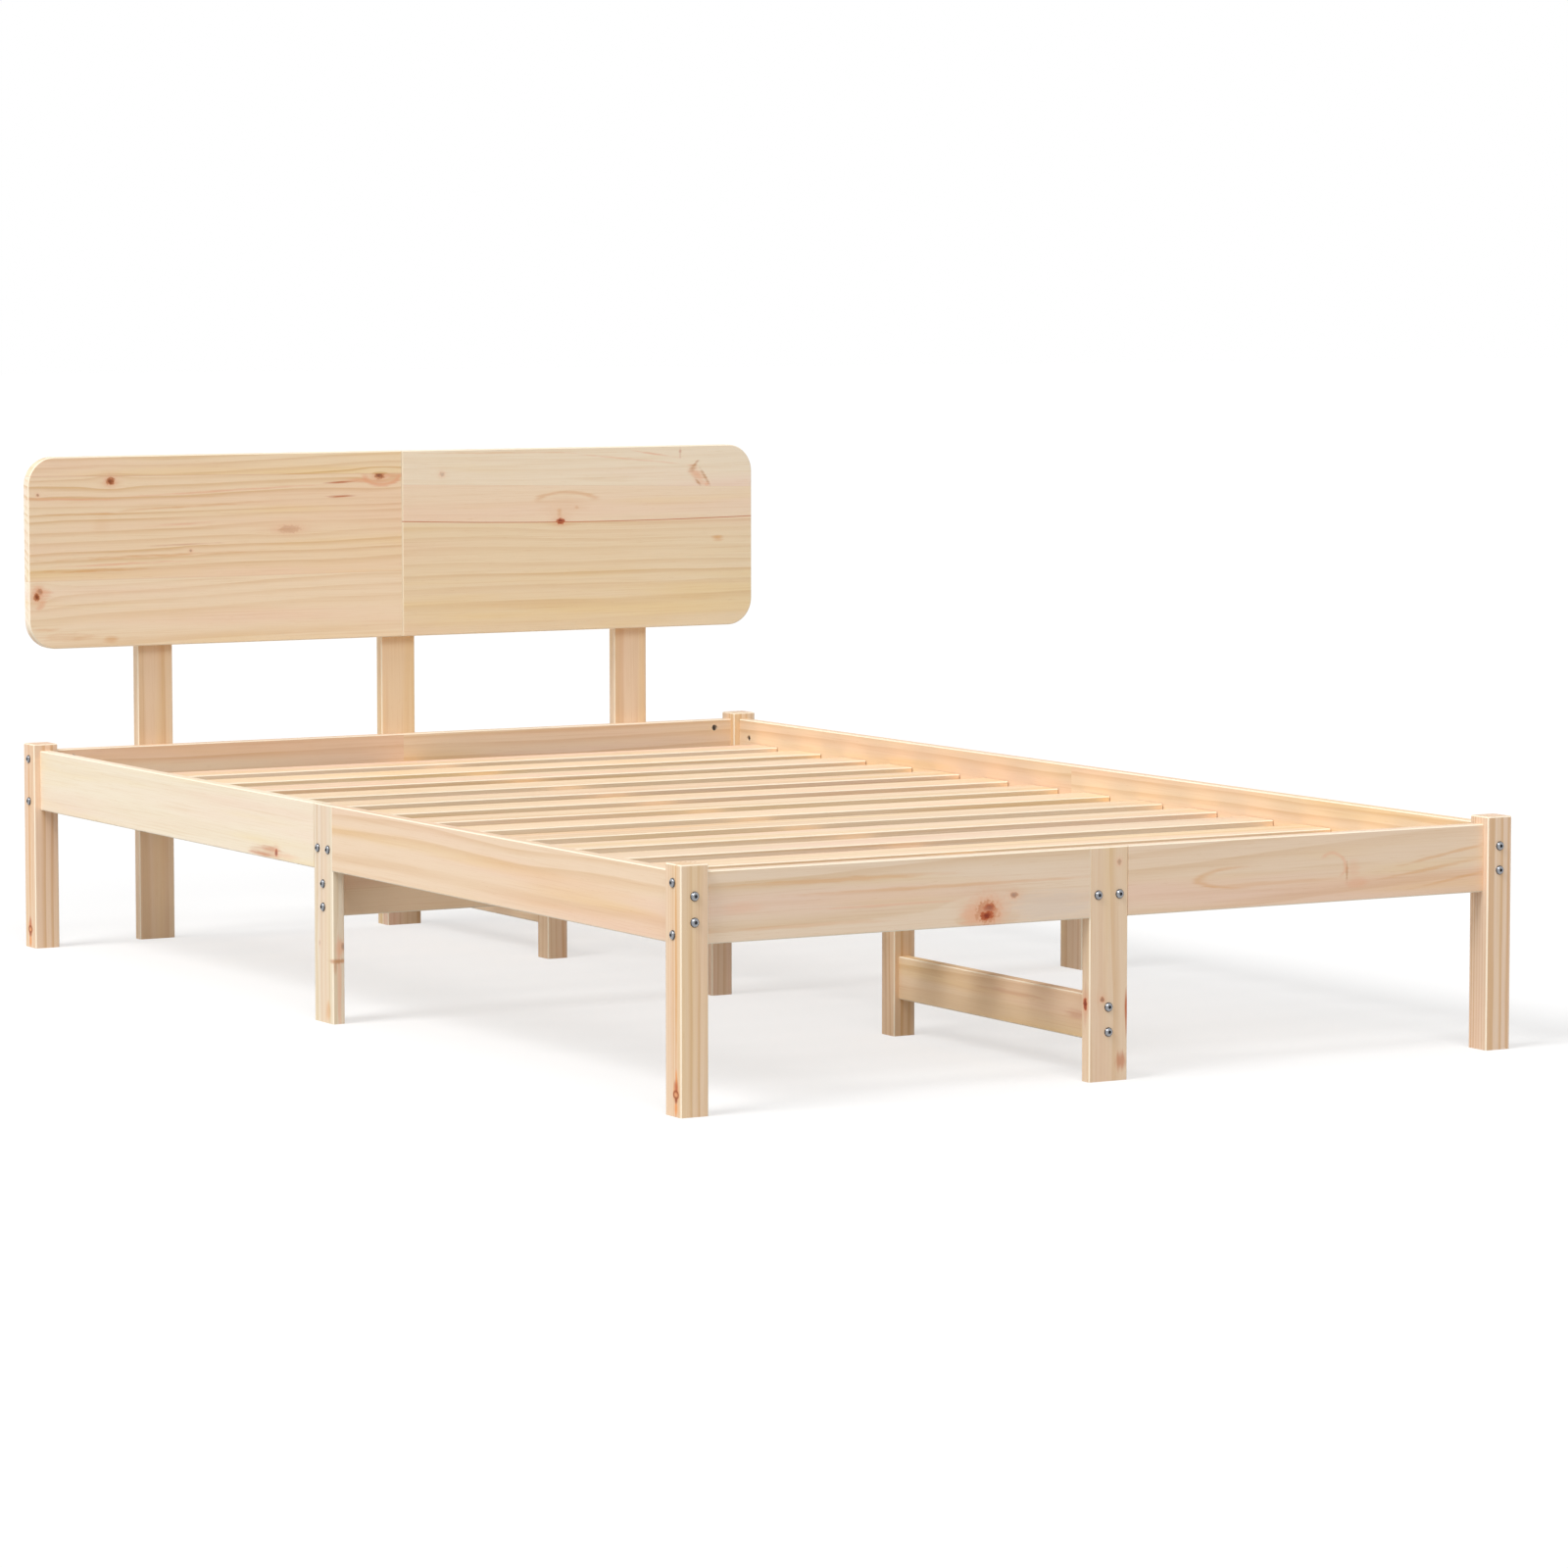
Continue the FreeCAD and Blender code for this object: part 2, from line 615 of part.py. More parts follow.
def bore_for_upright(rail, hand):
    """Pilot holes in a head rail for the two screws of an outer upright."""
    for shift in both("bolt_pitch / 2"):
        bore(rail, SCREW_BORE, (f"{hand} * upright_offset + {shift}", OUTER_FACE, "rail_height / 2"),
             PLUS_Y, "(screw_long - upright_thick + screw_room)")


def bore_for_ledger(rail, hand):
    """Pilot holes in a side rail for the screws of its ledger."""
    for share in LEDGER_SCREW_SHARES:
        mouth = (f"{hand} * {share} * {LEDGER_LONG}", INNER_FACE, f"{LEDGER_SCREW_LEVEL} - {RAIL_BOTTOM}")
        bore(rail, SCREW_BORE, mouth, -PLUS_Y, "(screw_long - ledger_thick + screw_room)")


def add_middle_support():
    """The centre beam on its three legs, and the rungs that tie those legs to the sides of the bed."""
    short_reach = "(short_bolt - rail_thick)"
    long_reach = "(long_bolt - rail_thick - upright_thick)"
    centre_beam_half("centre_beam_foot", -90, short_reach)
    centre_beam_half("centre_beam_head", 90, long_reach)
    centre_leg("centre_leg_foot", -1, [-PLUS_Y])
    centre_leg("centre_leg_middle", 0, [-PLUS_X, PLUS_X])
    centre_leg("centre_leg_head", 1, [PLUS_Y])
    stretcher_long = f"({END_FACE} - centre_leg_spacing - centre_leg_side / 2)"
    crossbeam_long = f"({SIDE_FACE} - centre_leg_side / 2)"
    foot_joint = ("0", f"{MIDDLE} - {END_FACE}", "stretcher_level")
    head_joint = ("0", f"{MIDDLE} + {END_FACE}", "stretcher_level")
    left_joint = (f"-{SIDE_FACE}", MIDDLE, "crossbeam_level")
    right_joint = (SIDE_FACE, MIDDLE, "crossbeam_level")
    rung("stretcher_foot", foot_joint, 90, stretcher_long, -PLUS_Y, short_reach)
    rung("stretcher_head", head_joint, -90, stretcher_long, PLUS_Y, long_reach)
    rung("crossbeam_left", left_joint, 0, crossbeam_long, PLUS_Y, short_reach)
    rung("crossbeam_right", right_joint, 180, crossbeam_long, -PLUS_Y, short_reach)


def add_slats_and_headboard():
    """The slats from the foot to the head, and the headboard on its uprights."""
    for index in range(SLAT_COUNT):
        slat(f"slat_{index + 1:02d}", index - LAST_SLAT_STEPS)
    for flank, hand in (("left", 1), ("right", -1)):
        panel(f"headboard_panel_{flank}", hand)
    for word, step in (("left", 1), ("middle", 0), ("right", -1)):
        upright(f"headboard_upright_{word}", step)


def add_fasteners():
    """All bolts, nuts and screws, one node for each kind of joint."""
    long_bolt = bolt("long_bolt_master", "long_bolt")
    short_bolt = bolt("short_bolt_master", "short_bolt")
    rung_ends = (("foot", "stretcher_level"), ("left", "crossbeam_level"), ("right", "crossbeam_level"))
    short_places = beam_places("foot", OUTER_FACE, -PLUS_Y)
    ledger_bolt_places = []
    ledger_nut_places = []
    for side, level in rung_ends:
        short_places += rung_places(side, OUTER_FACE, level, -PLUS_Y)
    for side in ("left", "right"):
        ledger_bolt_places += beam_places(side, OUTER_FACE, -PLUS_Y)
        ledger_nut_places += beam_places(side, LEDGER_FACE, PLUS_Y)
    inside = f"({INNER_FACE} + nut_inset)"
    nuts = nut_places(corner_places("(post_side + nut_inset)"))
    for end in ("foot", "head"):
        nuts += [(at, UP, outward) for at, outward, cross in beam_places(end, inside, -PLUS_Y)]
    for side, level in rung_ends + (("head", "stretcher_level"),):
        nuts += nut_places(rung_places(side, inside, level, -PLUS_Y))
    group("corner_bolts", long_bolt, corner_places("0"))
    group("middle_leg_bolts", short_bolt, short_places)
    group("head_bolts", long_bolt, upright_places(BOLT_BORE))
    group("ledger_bolts", bolt("ledger_bolt_master", "ledger_bolt"), ledger_bolt_places)
    group("ledger_nuts", hex_nut("hex_nut_master"), ledger_nut_places)
    group("barrel_nuts", barrel_nut("barrel_nut_master"), nuts)
    screw = wood_screw("wood_screw_master")
    group("headboard_screws", screw, upright_places(SCREW_BORE))
    group("ledger_screws", screw, ledger_screw_places("left") + ledger_screw_places("right"))


def check(thing):
    """Stops on an object that failed, that has no sound shape, or that cuts nothing."""
    if {"Invalid", "Error"} & set(thing.State):
        raise RuntimeError(f"{thing.Label}: {thing.State}")
    shape = getattr(thing, "Shape", None)
    if shape is None or thing.isDerivedFrom("App::Link") or thing.isDerivedFrom("Sketcher::SketchObject"):
        return
    if shape.isNull() or not shape.isValid():
        raise RuntimeError(f"{thing.Label}: no sound shape")
    if "Subtractive" in thing.TypeId and thing.BaseFeature.Shape.Volume - shape.Volume < NEAR:
        raise RuntimeError(f"{thing.Label}: cuts nothing")


def write_parts():
    """Writes one file for each node."""
    os.makedirs("parts", exist_ok=True)
    for label, thing in nodes.items():
        expected = len(thing.Links) if thing.isDerivedFrom("Part::Compound") else 1
        if len(thing.Shape.Solids) != expected:
            raise RuntimeError(f"{label}: {len(thing.Shape.Solids)} solids, not {expected}")
        thing.Shape.exportStep(f"parts/{label}.step")
    print(len(nodes), "nodes written")


fill_sheet()
add_posts_and_rails()
add_middle_support()
add_slats_and_headboard()
add_fasteners()
doc.recompute()
for member in doc.Objects:
    check(member)
write_parts()
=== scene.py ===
import math
import random

import bpy
from mathutils import Matrix, Vector


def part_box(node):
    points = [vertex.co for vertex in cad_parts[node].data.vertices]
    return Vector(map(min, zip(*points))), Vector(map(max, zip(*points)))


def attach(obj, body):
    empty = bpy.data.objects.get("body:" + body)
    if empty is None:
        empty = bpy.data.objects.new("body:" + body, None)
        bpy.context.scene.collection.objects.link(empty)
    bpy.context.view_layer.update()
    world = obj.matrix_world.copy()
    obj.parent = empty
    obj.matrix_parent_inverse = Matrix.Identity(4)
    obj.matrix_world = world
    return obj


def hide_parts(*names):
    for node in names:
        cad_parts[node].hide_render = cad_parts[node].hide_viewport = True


# The pine bed frame on a plain pale floor. Metres, +Z up, +Y towards the head.

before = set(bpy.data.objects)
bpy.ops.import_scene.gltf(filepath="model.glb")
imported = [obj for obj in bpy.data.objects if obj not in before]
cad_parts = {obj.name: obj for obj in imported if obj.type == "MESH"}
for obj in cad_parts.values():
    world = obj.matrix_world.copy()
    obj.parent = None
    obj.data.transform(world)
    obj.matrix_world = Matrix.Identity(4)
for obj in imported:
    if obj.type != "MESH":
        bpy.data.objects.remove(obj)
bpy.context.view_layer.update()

# Camera: its place, its turn from +Y and its tilt below the horizon in radians, its focal length in
# pixels of a picture of this width, and the width of its sensor in millimetres
CAMERA_PLACE = (-4.04180, -7.19335, 1.04939)
CAMERA_TURN = 0.52379
CAMERA_TILT = 0.09065
FOCAL_PIXELS = 5956.4
PICTURE_WIDTH = 1600
SENSOR = 36

# Light: an even sky and two soft suns, each with where it comes from, its power and its spread in degrees
SUNS = {
    "key": ((-0.66, -0.10, 0.745), 2.17, 28),
    "front": ((-0.24, -0.75, 0.62), 0.94, 28),
}
SKY_POWER = 0.40
WHITE = (1, 1, 1, 1)

# Floor: its side, its gap below the feet, the colour of the light that it throws back, and the colour,
# the faint clouds and the glow of what is seen of it
FLOOR_SIDE = 80
FLOOR_GAP = 0.0002
FLOOR_BOUNCE = (0.55, 0.55, 0.55, 1)
FLOOR_SHADE = (0.42, 0.42, 0.42, 1)
FLOOR_CLOUD_REACH = (-0.3, 0.3)
FLOOR_CLOUD_SHARE = (0.99, 0.99, 0.99)
FLOOR_GLOW = 0.58

# Wood colours, as the material stores them, and what each feature makes of the colour of its board
CREAM = (0.86, 0.665, 0.465)
HONEY = (0.86, 0.655, 0.475)
PALE = (0.88, 0.77, 0.62)
PEACH = (0.93, 0.76, 0.575)
LATE_SHARE = (0.87, 0.77, 0.63)
ROSY_SHARE = (1.0, 0.92, 0.95)
SUNNY_SHARE = (0.99, 0.95, 0.80)
END_SHARE = (0.96, 0.94, 0.92)
PALE_END_SHARE = (1.03, 1.13, 1.25)
# Arrises: paler cut wood with a painted highlight
ARRIS_HIGHLIGHT = (0.95, 0.85, 0.68, 1)
AMBER = (0.72, 0.36, 0.12, 1)
RUST = (0.55, 0.16, 0.06, 1)
ORANGE = (0.82, 0.30, 0.08, 1)
SALMON = (0.84, 0.44, 0.26, 1)
TAN = (0.62, 0.34, 0.18, 1)
ASH = (0.74, 0.61, 0.51, 1)
KNOT_CORE = (0.18, 0.040, 0.010, 1)
KNOT_HEART = (0.35, 0.085, 0.022, 1)
KNOT_BODY = (0.60, 0.24, 0.105, 1)
KNOT_HALO = (0.82, 0.46, 0.29, 1)

# The kinds of knots: the colours of the core, the heart and the body, and how strong the halo is
KNOT_KINDS = {
    "brown": (KNOT_CORE, KNOT_HEART, KNOT_BODY, 0.9),
    "red": ((0.20, 0.024, 0.007, 1), (0.33, 0.045, 0.013, 1), (0.56, 0.15, 0.055, 1), 0.6),
    "soft": ((0.50, 0.17, 0.07, 1), (0.56, 0.20, 0.09, 1), KNOT_BODY, 1.0),
}

# The ramp of a knot, in shares of KNOT_REACH radii from its middle: where its core, heart and body show,
# and where its halo does, each with how strong it is there
KNOT_REACH = 3.0
KNOT_STOPS = [(0.0, 0.95), (0.12, 0.95), (0.21, 0.9)]
HALO_STOPS = [(0.27, 0.7), (0.38, 0.38), (0.55, 0.12), (0.9, 0.0)]

# Noises: the waves in a metre along each axis, and the detail. The axes run along, across and through the
# grain in WAVE, RIPPLE, RING_PATCHES and DRIFT, and the first runs out from the pith in RING_NOISE.
WAVE = ((1.6, 7.0, 7.0), 1.0)
RIPPLE = ((7.0, 60.0, 60.0), 2.0)
RING_NOISE = ((30.0, 1.0, 1.0), 1.0)
RING_PATCHES = ((1.9, 11.0, 11.0), 2.0)
DRIFT = ((30.0, 300.0, 300.0), 2.0)
CRUMPLE = ((260.0, 260.0, 260.0), 3.0)
METAL_CLOUDS = ((700.0, 700.0, 700.0), 2.0)
FLOOR_CLOUDS = ((1.5, 1.5, 1.5), 1.0)

# Tints all over the wood: the noise of each, where on it the tint starts and is full, how strong it is
# there, and what it makes of the colour
TINTS = {
    "rosy": (((1.1, 17.0, 17.0), 2.0), (-0.05, 0.25), 1.0, ROSY_SHARE),
    "sunny": (((1.7, 26.0, 26.0), 2.0), (0.0, 0.25), 1.0, SUNNY_SHARE),
    "fibre": (((14.0, 900.0, 900.0), 3.0), (-0.1, 0.35), 0.3, LATE_SHARE),
    "streak": (((5.0, 330.0, 330.0), 2.0), (0.0, 0.3), 0.4, LATE_SHARE),
    "fleck": (((55.0, 1500.0, 1500.0), 0.0), (0.27, 0.34), 0.45, LATE_SHARE),
}

# What chance makes of a board's tone and of its pith's place, and how far apart the noises of boards and
# of staves are taken
TONE_RANGE = (0.965, 1.035)
PITH_RANGE = (0.8, 1.2)
BOARD_SHIFT = 1.37
STAVE_SHIFT = 2.7

# Year rings: the depth of the ripples in the grain, the way from one stave's pith to the next, how many
# rings the noise moves them by, and where in a ring its late wood starts, is full, fades and ends
RIPPLE_DEPTH = 0.0035
STAVE_PITH_STEP = 0.045
RING_STRAY = 1.3
LATE_RISE = (0.40, 0.88)
LATE_FALL = (0.91, 0.99)

# How dark the late wood is: the spread and the least share that chance gives a ring, and where on the
# noise of the patches it is faint and strong, with its share there
RING_LUCK = (0.7, 0.3)
PATCH_REACH = (-0.25, 0.25, 0.35, 1.2)

# How nearly along the grain a face must look to show end grain, at all and in full
END_GRAIN = (0.9, 0.97)

# Bevelled arrises, which are paler, partly as cut wood and partly as a painted highlight: how strong the
# paint is, and how squarely a painted face looks along an axis. On a post that is any axis, and it fades
# out. On a board it is the axis through the grain, and it fades in and out.
ARRIS_HIGHLIGHT_STRENGTH = 0.85
POST_ARRIS_HIGHLIGHT = (0.75, 0.93)
BOARD_ARRIS_HIGHLIGHT_IN = (0.3, 0.5)
BOARD_ARRIS_HIGHLIGHT_OUT = (0.8, 0.95)

# How the grain bends round a knot: the reach along the grain in radii, and how hard and how softly it
# is pushed
KNOT_STRETCH = 2.4
KNOT_PUSH = 1.3
KNOT_SOFTNESS = 0.7

# Edges of the marks, in radii: how far the noise moves each kind, where a stain starts to fade and ends,
# the line that an arc follows, and where on its facing side a half arc starts and is full
STAIN_DRIFT = 1.1
STAIN_EDGE = (0.25, 1.1)
ARC_DRIFT = 0.25
ARC_RADIUS = 0.9
HALF_ARC = (-0.3, 0.4)
KNOT_DRIFT = 0.9

# How far from its middle a glue line starts to fade and ends
GLUE_LINE = (0.0003, 0.0010)

# The surface of the wood: how rough it is, how strongly it mirrors, where 0.5 is a polished surface, the
# depth of its fibres, and that of its rings as a share
WOOD_ROUGHNESS = 0.5
GLOSS = 0.25
RELIEF = 0.00008
RING_RELIEF = 0.5

# The surface of the metal, faintly clouded, with painted shade in its recesses and round the rims of the
# heads
ZINC = (0.37, 0.38, 0.40, 1)
ZINC_CLOUD = (0.26, 0.27, 0.29, 1)
ZINC_ROUGHNESS = (0.2, 0.32)
METAL_CLOUD_REACH = (-0.2, 0.2)
RECESS_SHADE = (0.06, 0.06, 0.065, 1)
RECESS_SHADE_REACH = (0.0, 0.9)


class Net:
    """Builds the nodes of a material or of the world. Calls take numbers or sockets, and give sockets."""

    def __init__(self, owner):
        self.owner = owner
        self.owner.use_nodes = True
        self.tree = self.owner.node_tree
        self.tree.nodes.clear()

    def add(self, kind, inputs, output=0, **settings):
        node = self.tree.nodes.new(kind)
        for name, value in settings.items():
            setattr(node, name, value)
        for key, value in inputs.items():
            if isinstance(value, bpy.types.NodeSocket):
                self.tree.links.new(value, node.inputs[key])
            else:
                node.inputs[key].default_value = value
        return node.outputs[output]

    def math(self, operation, *values):
        return self.add("ShaderNodeMath", dict(enumerate(values)), operation=operation)

    def vector(self, operation, *values, output=0):
        return self.add("ShaderNodeVectorMath", dict(enumerate(values)), output, operation=operation)

    def split(self, vector):
        node = self.add("ShaderNodeSeparateXYZ", {0: vector}).node
        return list(node.outputs)

    def join(self, x, y, z):
        return self.add("ShaderNodeCombineXYZ", {0: x, 1: y, 2: z})

    def ease(self, value, start, end, low=0.0, high=1.0):
        """Goes smoothly from low at start to high at end."""
        inputs = {"Value": value, "From Min": start, "From Max": end, "To Min": low, "To Max": high}
        return self.add("ShaderNodeMapRange", inputs, interpolation_type="SMOOTHSTEP")

    def noise(self, place, waves, detail):
        """Noise about zero."""
        inputs = {"Vector": self.vector("MULTIPLY", place, waves), "Scale": 1.0, "Detail": detail}
        return self.math("SUBTRACT", self.add("ShaderNodeTexNoise", inputs), 0.5)

    def mix(self, share, first, second):
        inputs = {0: share, 6: first, 7: second}
        return self.add("ShaderNodeMix", inputs, 2, data_type="RGBA")

    def times(self, share, colour, factor):
        """Multiplies a colour by a factor, by a share."""
        inputs = {0: share, 6: colour, 7: (*factor, 1)}
        return self.add("ShaderNodeMix", inputs, 2, data_type="RGBA", blend_type="MULTIPLY")

    def ramp(self, value, stops):
        """A colour and a share from a ramp of places, colours and shares."""
        node = self.add("ShaderNodeValToRGB", {0: value}).node
        elements = node.color_ramp.elements
        while len(elements) < len(stops):
            elements.new(0.5)
        for element, (place, colour, share) in zip(elements, stops):
            element.position = place
            element.color = (*colour[:3], share)
        return node.outputs[0], node.outputs[1]

    def meets_eye(self):
        """One on rays that see the background, straight, mirrored or through glass, and zero on others."""
        rays = self.add("ShaderNodeLightPath", {}).node.outputs
        seen = self.math("MAXIMUM", rays["Is Camera Ray"], rays["Is Glossy Ray"])
        return self.math("MAXIMUM", seen, rays["Is Transmission Ray"])

    def surface(self, colour, roughness, metallic=0.0, height=None, depth=0.0):
        """Ends a material with its surface, and gives the material."""
        inputs = {
            "Base Color": colour,
            "Roughness": roughness,
            "Metallic": metallic,
            "Specular IOR Level": GLOSS,
        }
        if height is not None:
            relief = {"Strength": 1.0, "Distance": depth, "Height": height}
            inputs["Normal"] = self.add("ShaderNodeBump", relief)
        self.end(self.add("ShaderNodeBsdfPrincipled", inputs))
        return self.owner

    def end(self, shader, kind="ShaderNodeOutputMaterial"):
        output = self.tree.nodes.new(kind)
        self.tree.links.new(shader, output.inputs["Surface"])


# Which way the grain, the width and the thickness of each board run, by the start of its name
BOARD_AXES = {
    "corner_post": "ZXY",
    "foot_rail": "XZY",
    "head_rail": "XZY",
    "side_rail": "YZX",
    "middle_leg_foot": "ZXY",
    "middle_leg_head": "ZXY",
    "middle_leg_left": "ZYX",
    "middle_leg_right": "ZYX",
    "headboard_upright": "ZXY",
    "headboard_panel": "XZY",
    "centre_leg": "ZXY",
    "centre_beam": "YXZ",
    "crossbeam": "XZY",
    "stretcher": "YZX",
    "ledger": "YZX",
    "slat": "XYZ",
}

# How the grain of a board looks: its tone, the pith's place across and through, the spacing of the year
# rings and how dark their bands are, how far the grain wanders, and its slope. The start of a name picks
# a look, and a later one goes over an earlier one.
PLAIN_LOOK = {
    "tone": CREAM,
    "pith": (-0.02, 0.07),
    "rings": 0.010,
    "bands": 0.8,
    "wander": 0.03,
    "slope": 0.0,
}
LOOKS = {
    "corner_post": {"tone": HONEY, "pith": (-0.030, 0.042), "rings": 0.0056, "bands": 1.8, "wander": 0.008},
    "centre_leg": {"tone": HONEY, "pith": (0.03, 0.03), "rings": 0.006, "bands": 1.3, "wander": 0.012},
    "middle_leg": {"tone": HONEY, "pith": (0.05, 0.06), "rings": 0.009, "bands": 1.0, "wander": 0.02},
    "middle_leg_left": {"tone": (0.83, 0.725, 0.56), "pith": (0.05, -0.06), "bands": 0.7},
    "headboard_panel_left": {"pith": (-0.12, 0.05), "rings": 0.0115, "wander": 0.035, "slope": -0.025},
    "headboard_panel_right": {"pith": (-0.16, 0.09), "rings": 0.0135, "wander": 0.04},
    "foot_rail_left": {"tone": (0.87, 0.695, 0.52), "pith": (0.0, 0.05), "rings": 0.012, "slope": -0.02},
    "foot_rail_right": {"tone": (0.88, 0.685, 0.5), "pith": (-0.005, 0.045), "rings": 0.012, "slope": -0.04},
    "side_rail_left_head": {"tone": PALE, "rings": 0.013, "bands": 0.35},
}

# Numbers of axes, and of the ends of a box
X, Y = 0, 1
LOW, HIGH = 0, 1


def face(board, axis, end):
    """The level of one face of a board: the axis across it, and its place on that axis."""
    return axis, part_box(board)[end][axis]


# Levels that marks lie on. All are faces of boards but BEFORE_PANEL, which is this far in front of the
# headboard, so that its marks don't reach the back.
PANEL_GAP = 0.00925
PANEL_FRONT = face("headboard_panel_left", Y, LOW)
BEFORE_PANEL = (Y, PANEL_FRONT[1] - PANEL_GAP)
FOOT_FRONT = face("foot_rail_left", Y, LOW)
LEG_FRONT = face("middle_leg_left", Y, LOW)
POST_LEFT = face("corner_post_foot_left", X, LOW)
POST_RIGHT = face("corner_post_head_right", X, HIGH)
SIDE_LEFT = face("side_rail_left_head", X, LOW)
STRETCHER_LEFT = face("stretcher_foot", X, LOW)

# How far knots, stains, and the deeper stains of posts and stretchers reach off their level
KNOT_DEPTH = 0.06
STAIN_DEPTH = 0.02
DEEP_STAIN = 0.03


def on_level(level, depth, rows):
    """Marks on one level, from rows that start with a place and radii along the level and up."""
    axis, position = level
    marks = []
    for along, up, long_radius, up_radius, *rest in rows:
        middle = [along, up]
        middle.insert(axis, position)
        radii = [long_radius, up_radius]
        radii.insert(axis, depth)
        marks.append((middle, radii, *rest))
    return marks


# Knots that show in the picture. A mark starts with its middle and its radii along X, Y and Z, and
# on_level adds the axis across its level. Then come its kind, how dark it is, and whether a glue line
# cuts it off.
KNOTS = {
    "headboard_panel_left": on_level(PANEL_FRONT, KNOT_DEPTH, [
        (-0.4930, 0.7050, 0.0098, 0.0078, "brown", 1.0, False),
        (-0.0395, 0.7055, 0.0120, 0.0085, "brown", 0.9, True),
        (-0.6106, 0.5393, 0.0070, 0.0075, "brown", 0.8, False),
        (-0.6151, 0.5327, 0.0072, 0.0085, "brown", 1.0, False),
        (-0.1948, 0.6252, 0.0240, 0.0080, "soft", 0.45, False),
        (-0.6118, 0.6861, 0.0030, 0.0030, "brown", 0.6, False),
        (-0.3606, 0.5961, 0.0040, 0.0030, "brown", 0.5, False),
    ]),
    "headboard_panel_right": on_level(PANEL_FRONT, KNOT_DEPTH, [
        (0.0694, 0.7050, 0.0060, 0.0052, "brown", 0.38, False),
        (0.2790, 0.6268, 0.0108, 0.0070, "red", 1.0, False),
    ]),
    "foot_rail_left": on_level(FOOT_FRONT, KNOT_DEPTH, [
        (-0.1820, 0.2270, 0.0220, 0.0195, "soft", 1.0, False),
        (-0.1790, 0.2318, 0.0130, 0.0088, "red", 0.85, False),
        (-0.1825, 0.2220, 0.0150, 0.0085, "red", 1.0, False),
        (-0.1424, 0.2462, 0.0090, 0.0055, "brown", 0.6, False),
    ]),
    "middle_leg_foot": [
        ((-0.0290, -1.0112, 0.0999), (0.014, 0.006, 0.012), "red", 1.0, False),
        ((-0.0095, -1.0208, 0.1052), (0.0048, 0.010, 0.0048), "brown", 0.7, False),
        ((0.0155, -1.0208, 0.2800), (0.0045, 0.010, 0.0055), "brown", 0.45, False),
    ],
    "middle_leg_left": [
        ((-0.6010, -0.0328, 0.1060), (0.0056, 0.010, 0.0085), "brown", 0.55, False),
        ((-0.6170, 0.0080, 0.1080), (0.010, 0.0045, 0.0050), "brown", 0.25, False),
    ],
    "side_rail_left_head": on_level(SIDE_LEFT, STAIN_DEPTH, [
        (0.1460, 0.2205, 0.0075, 0.0075, "red", 0.85, False),
    ]),
}

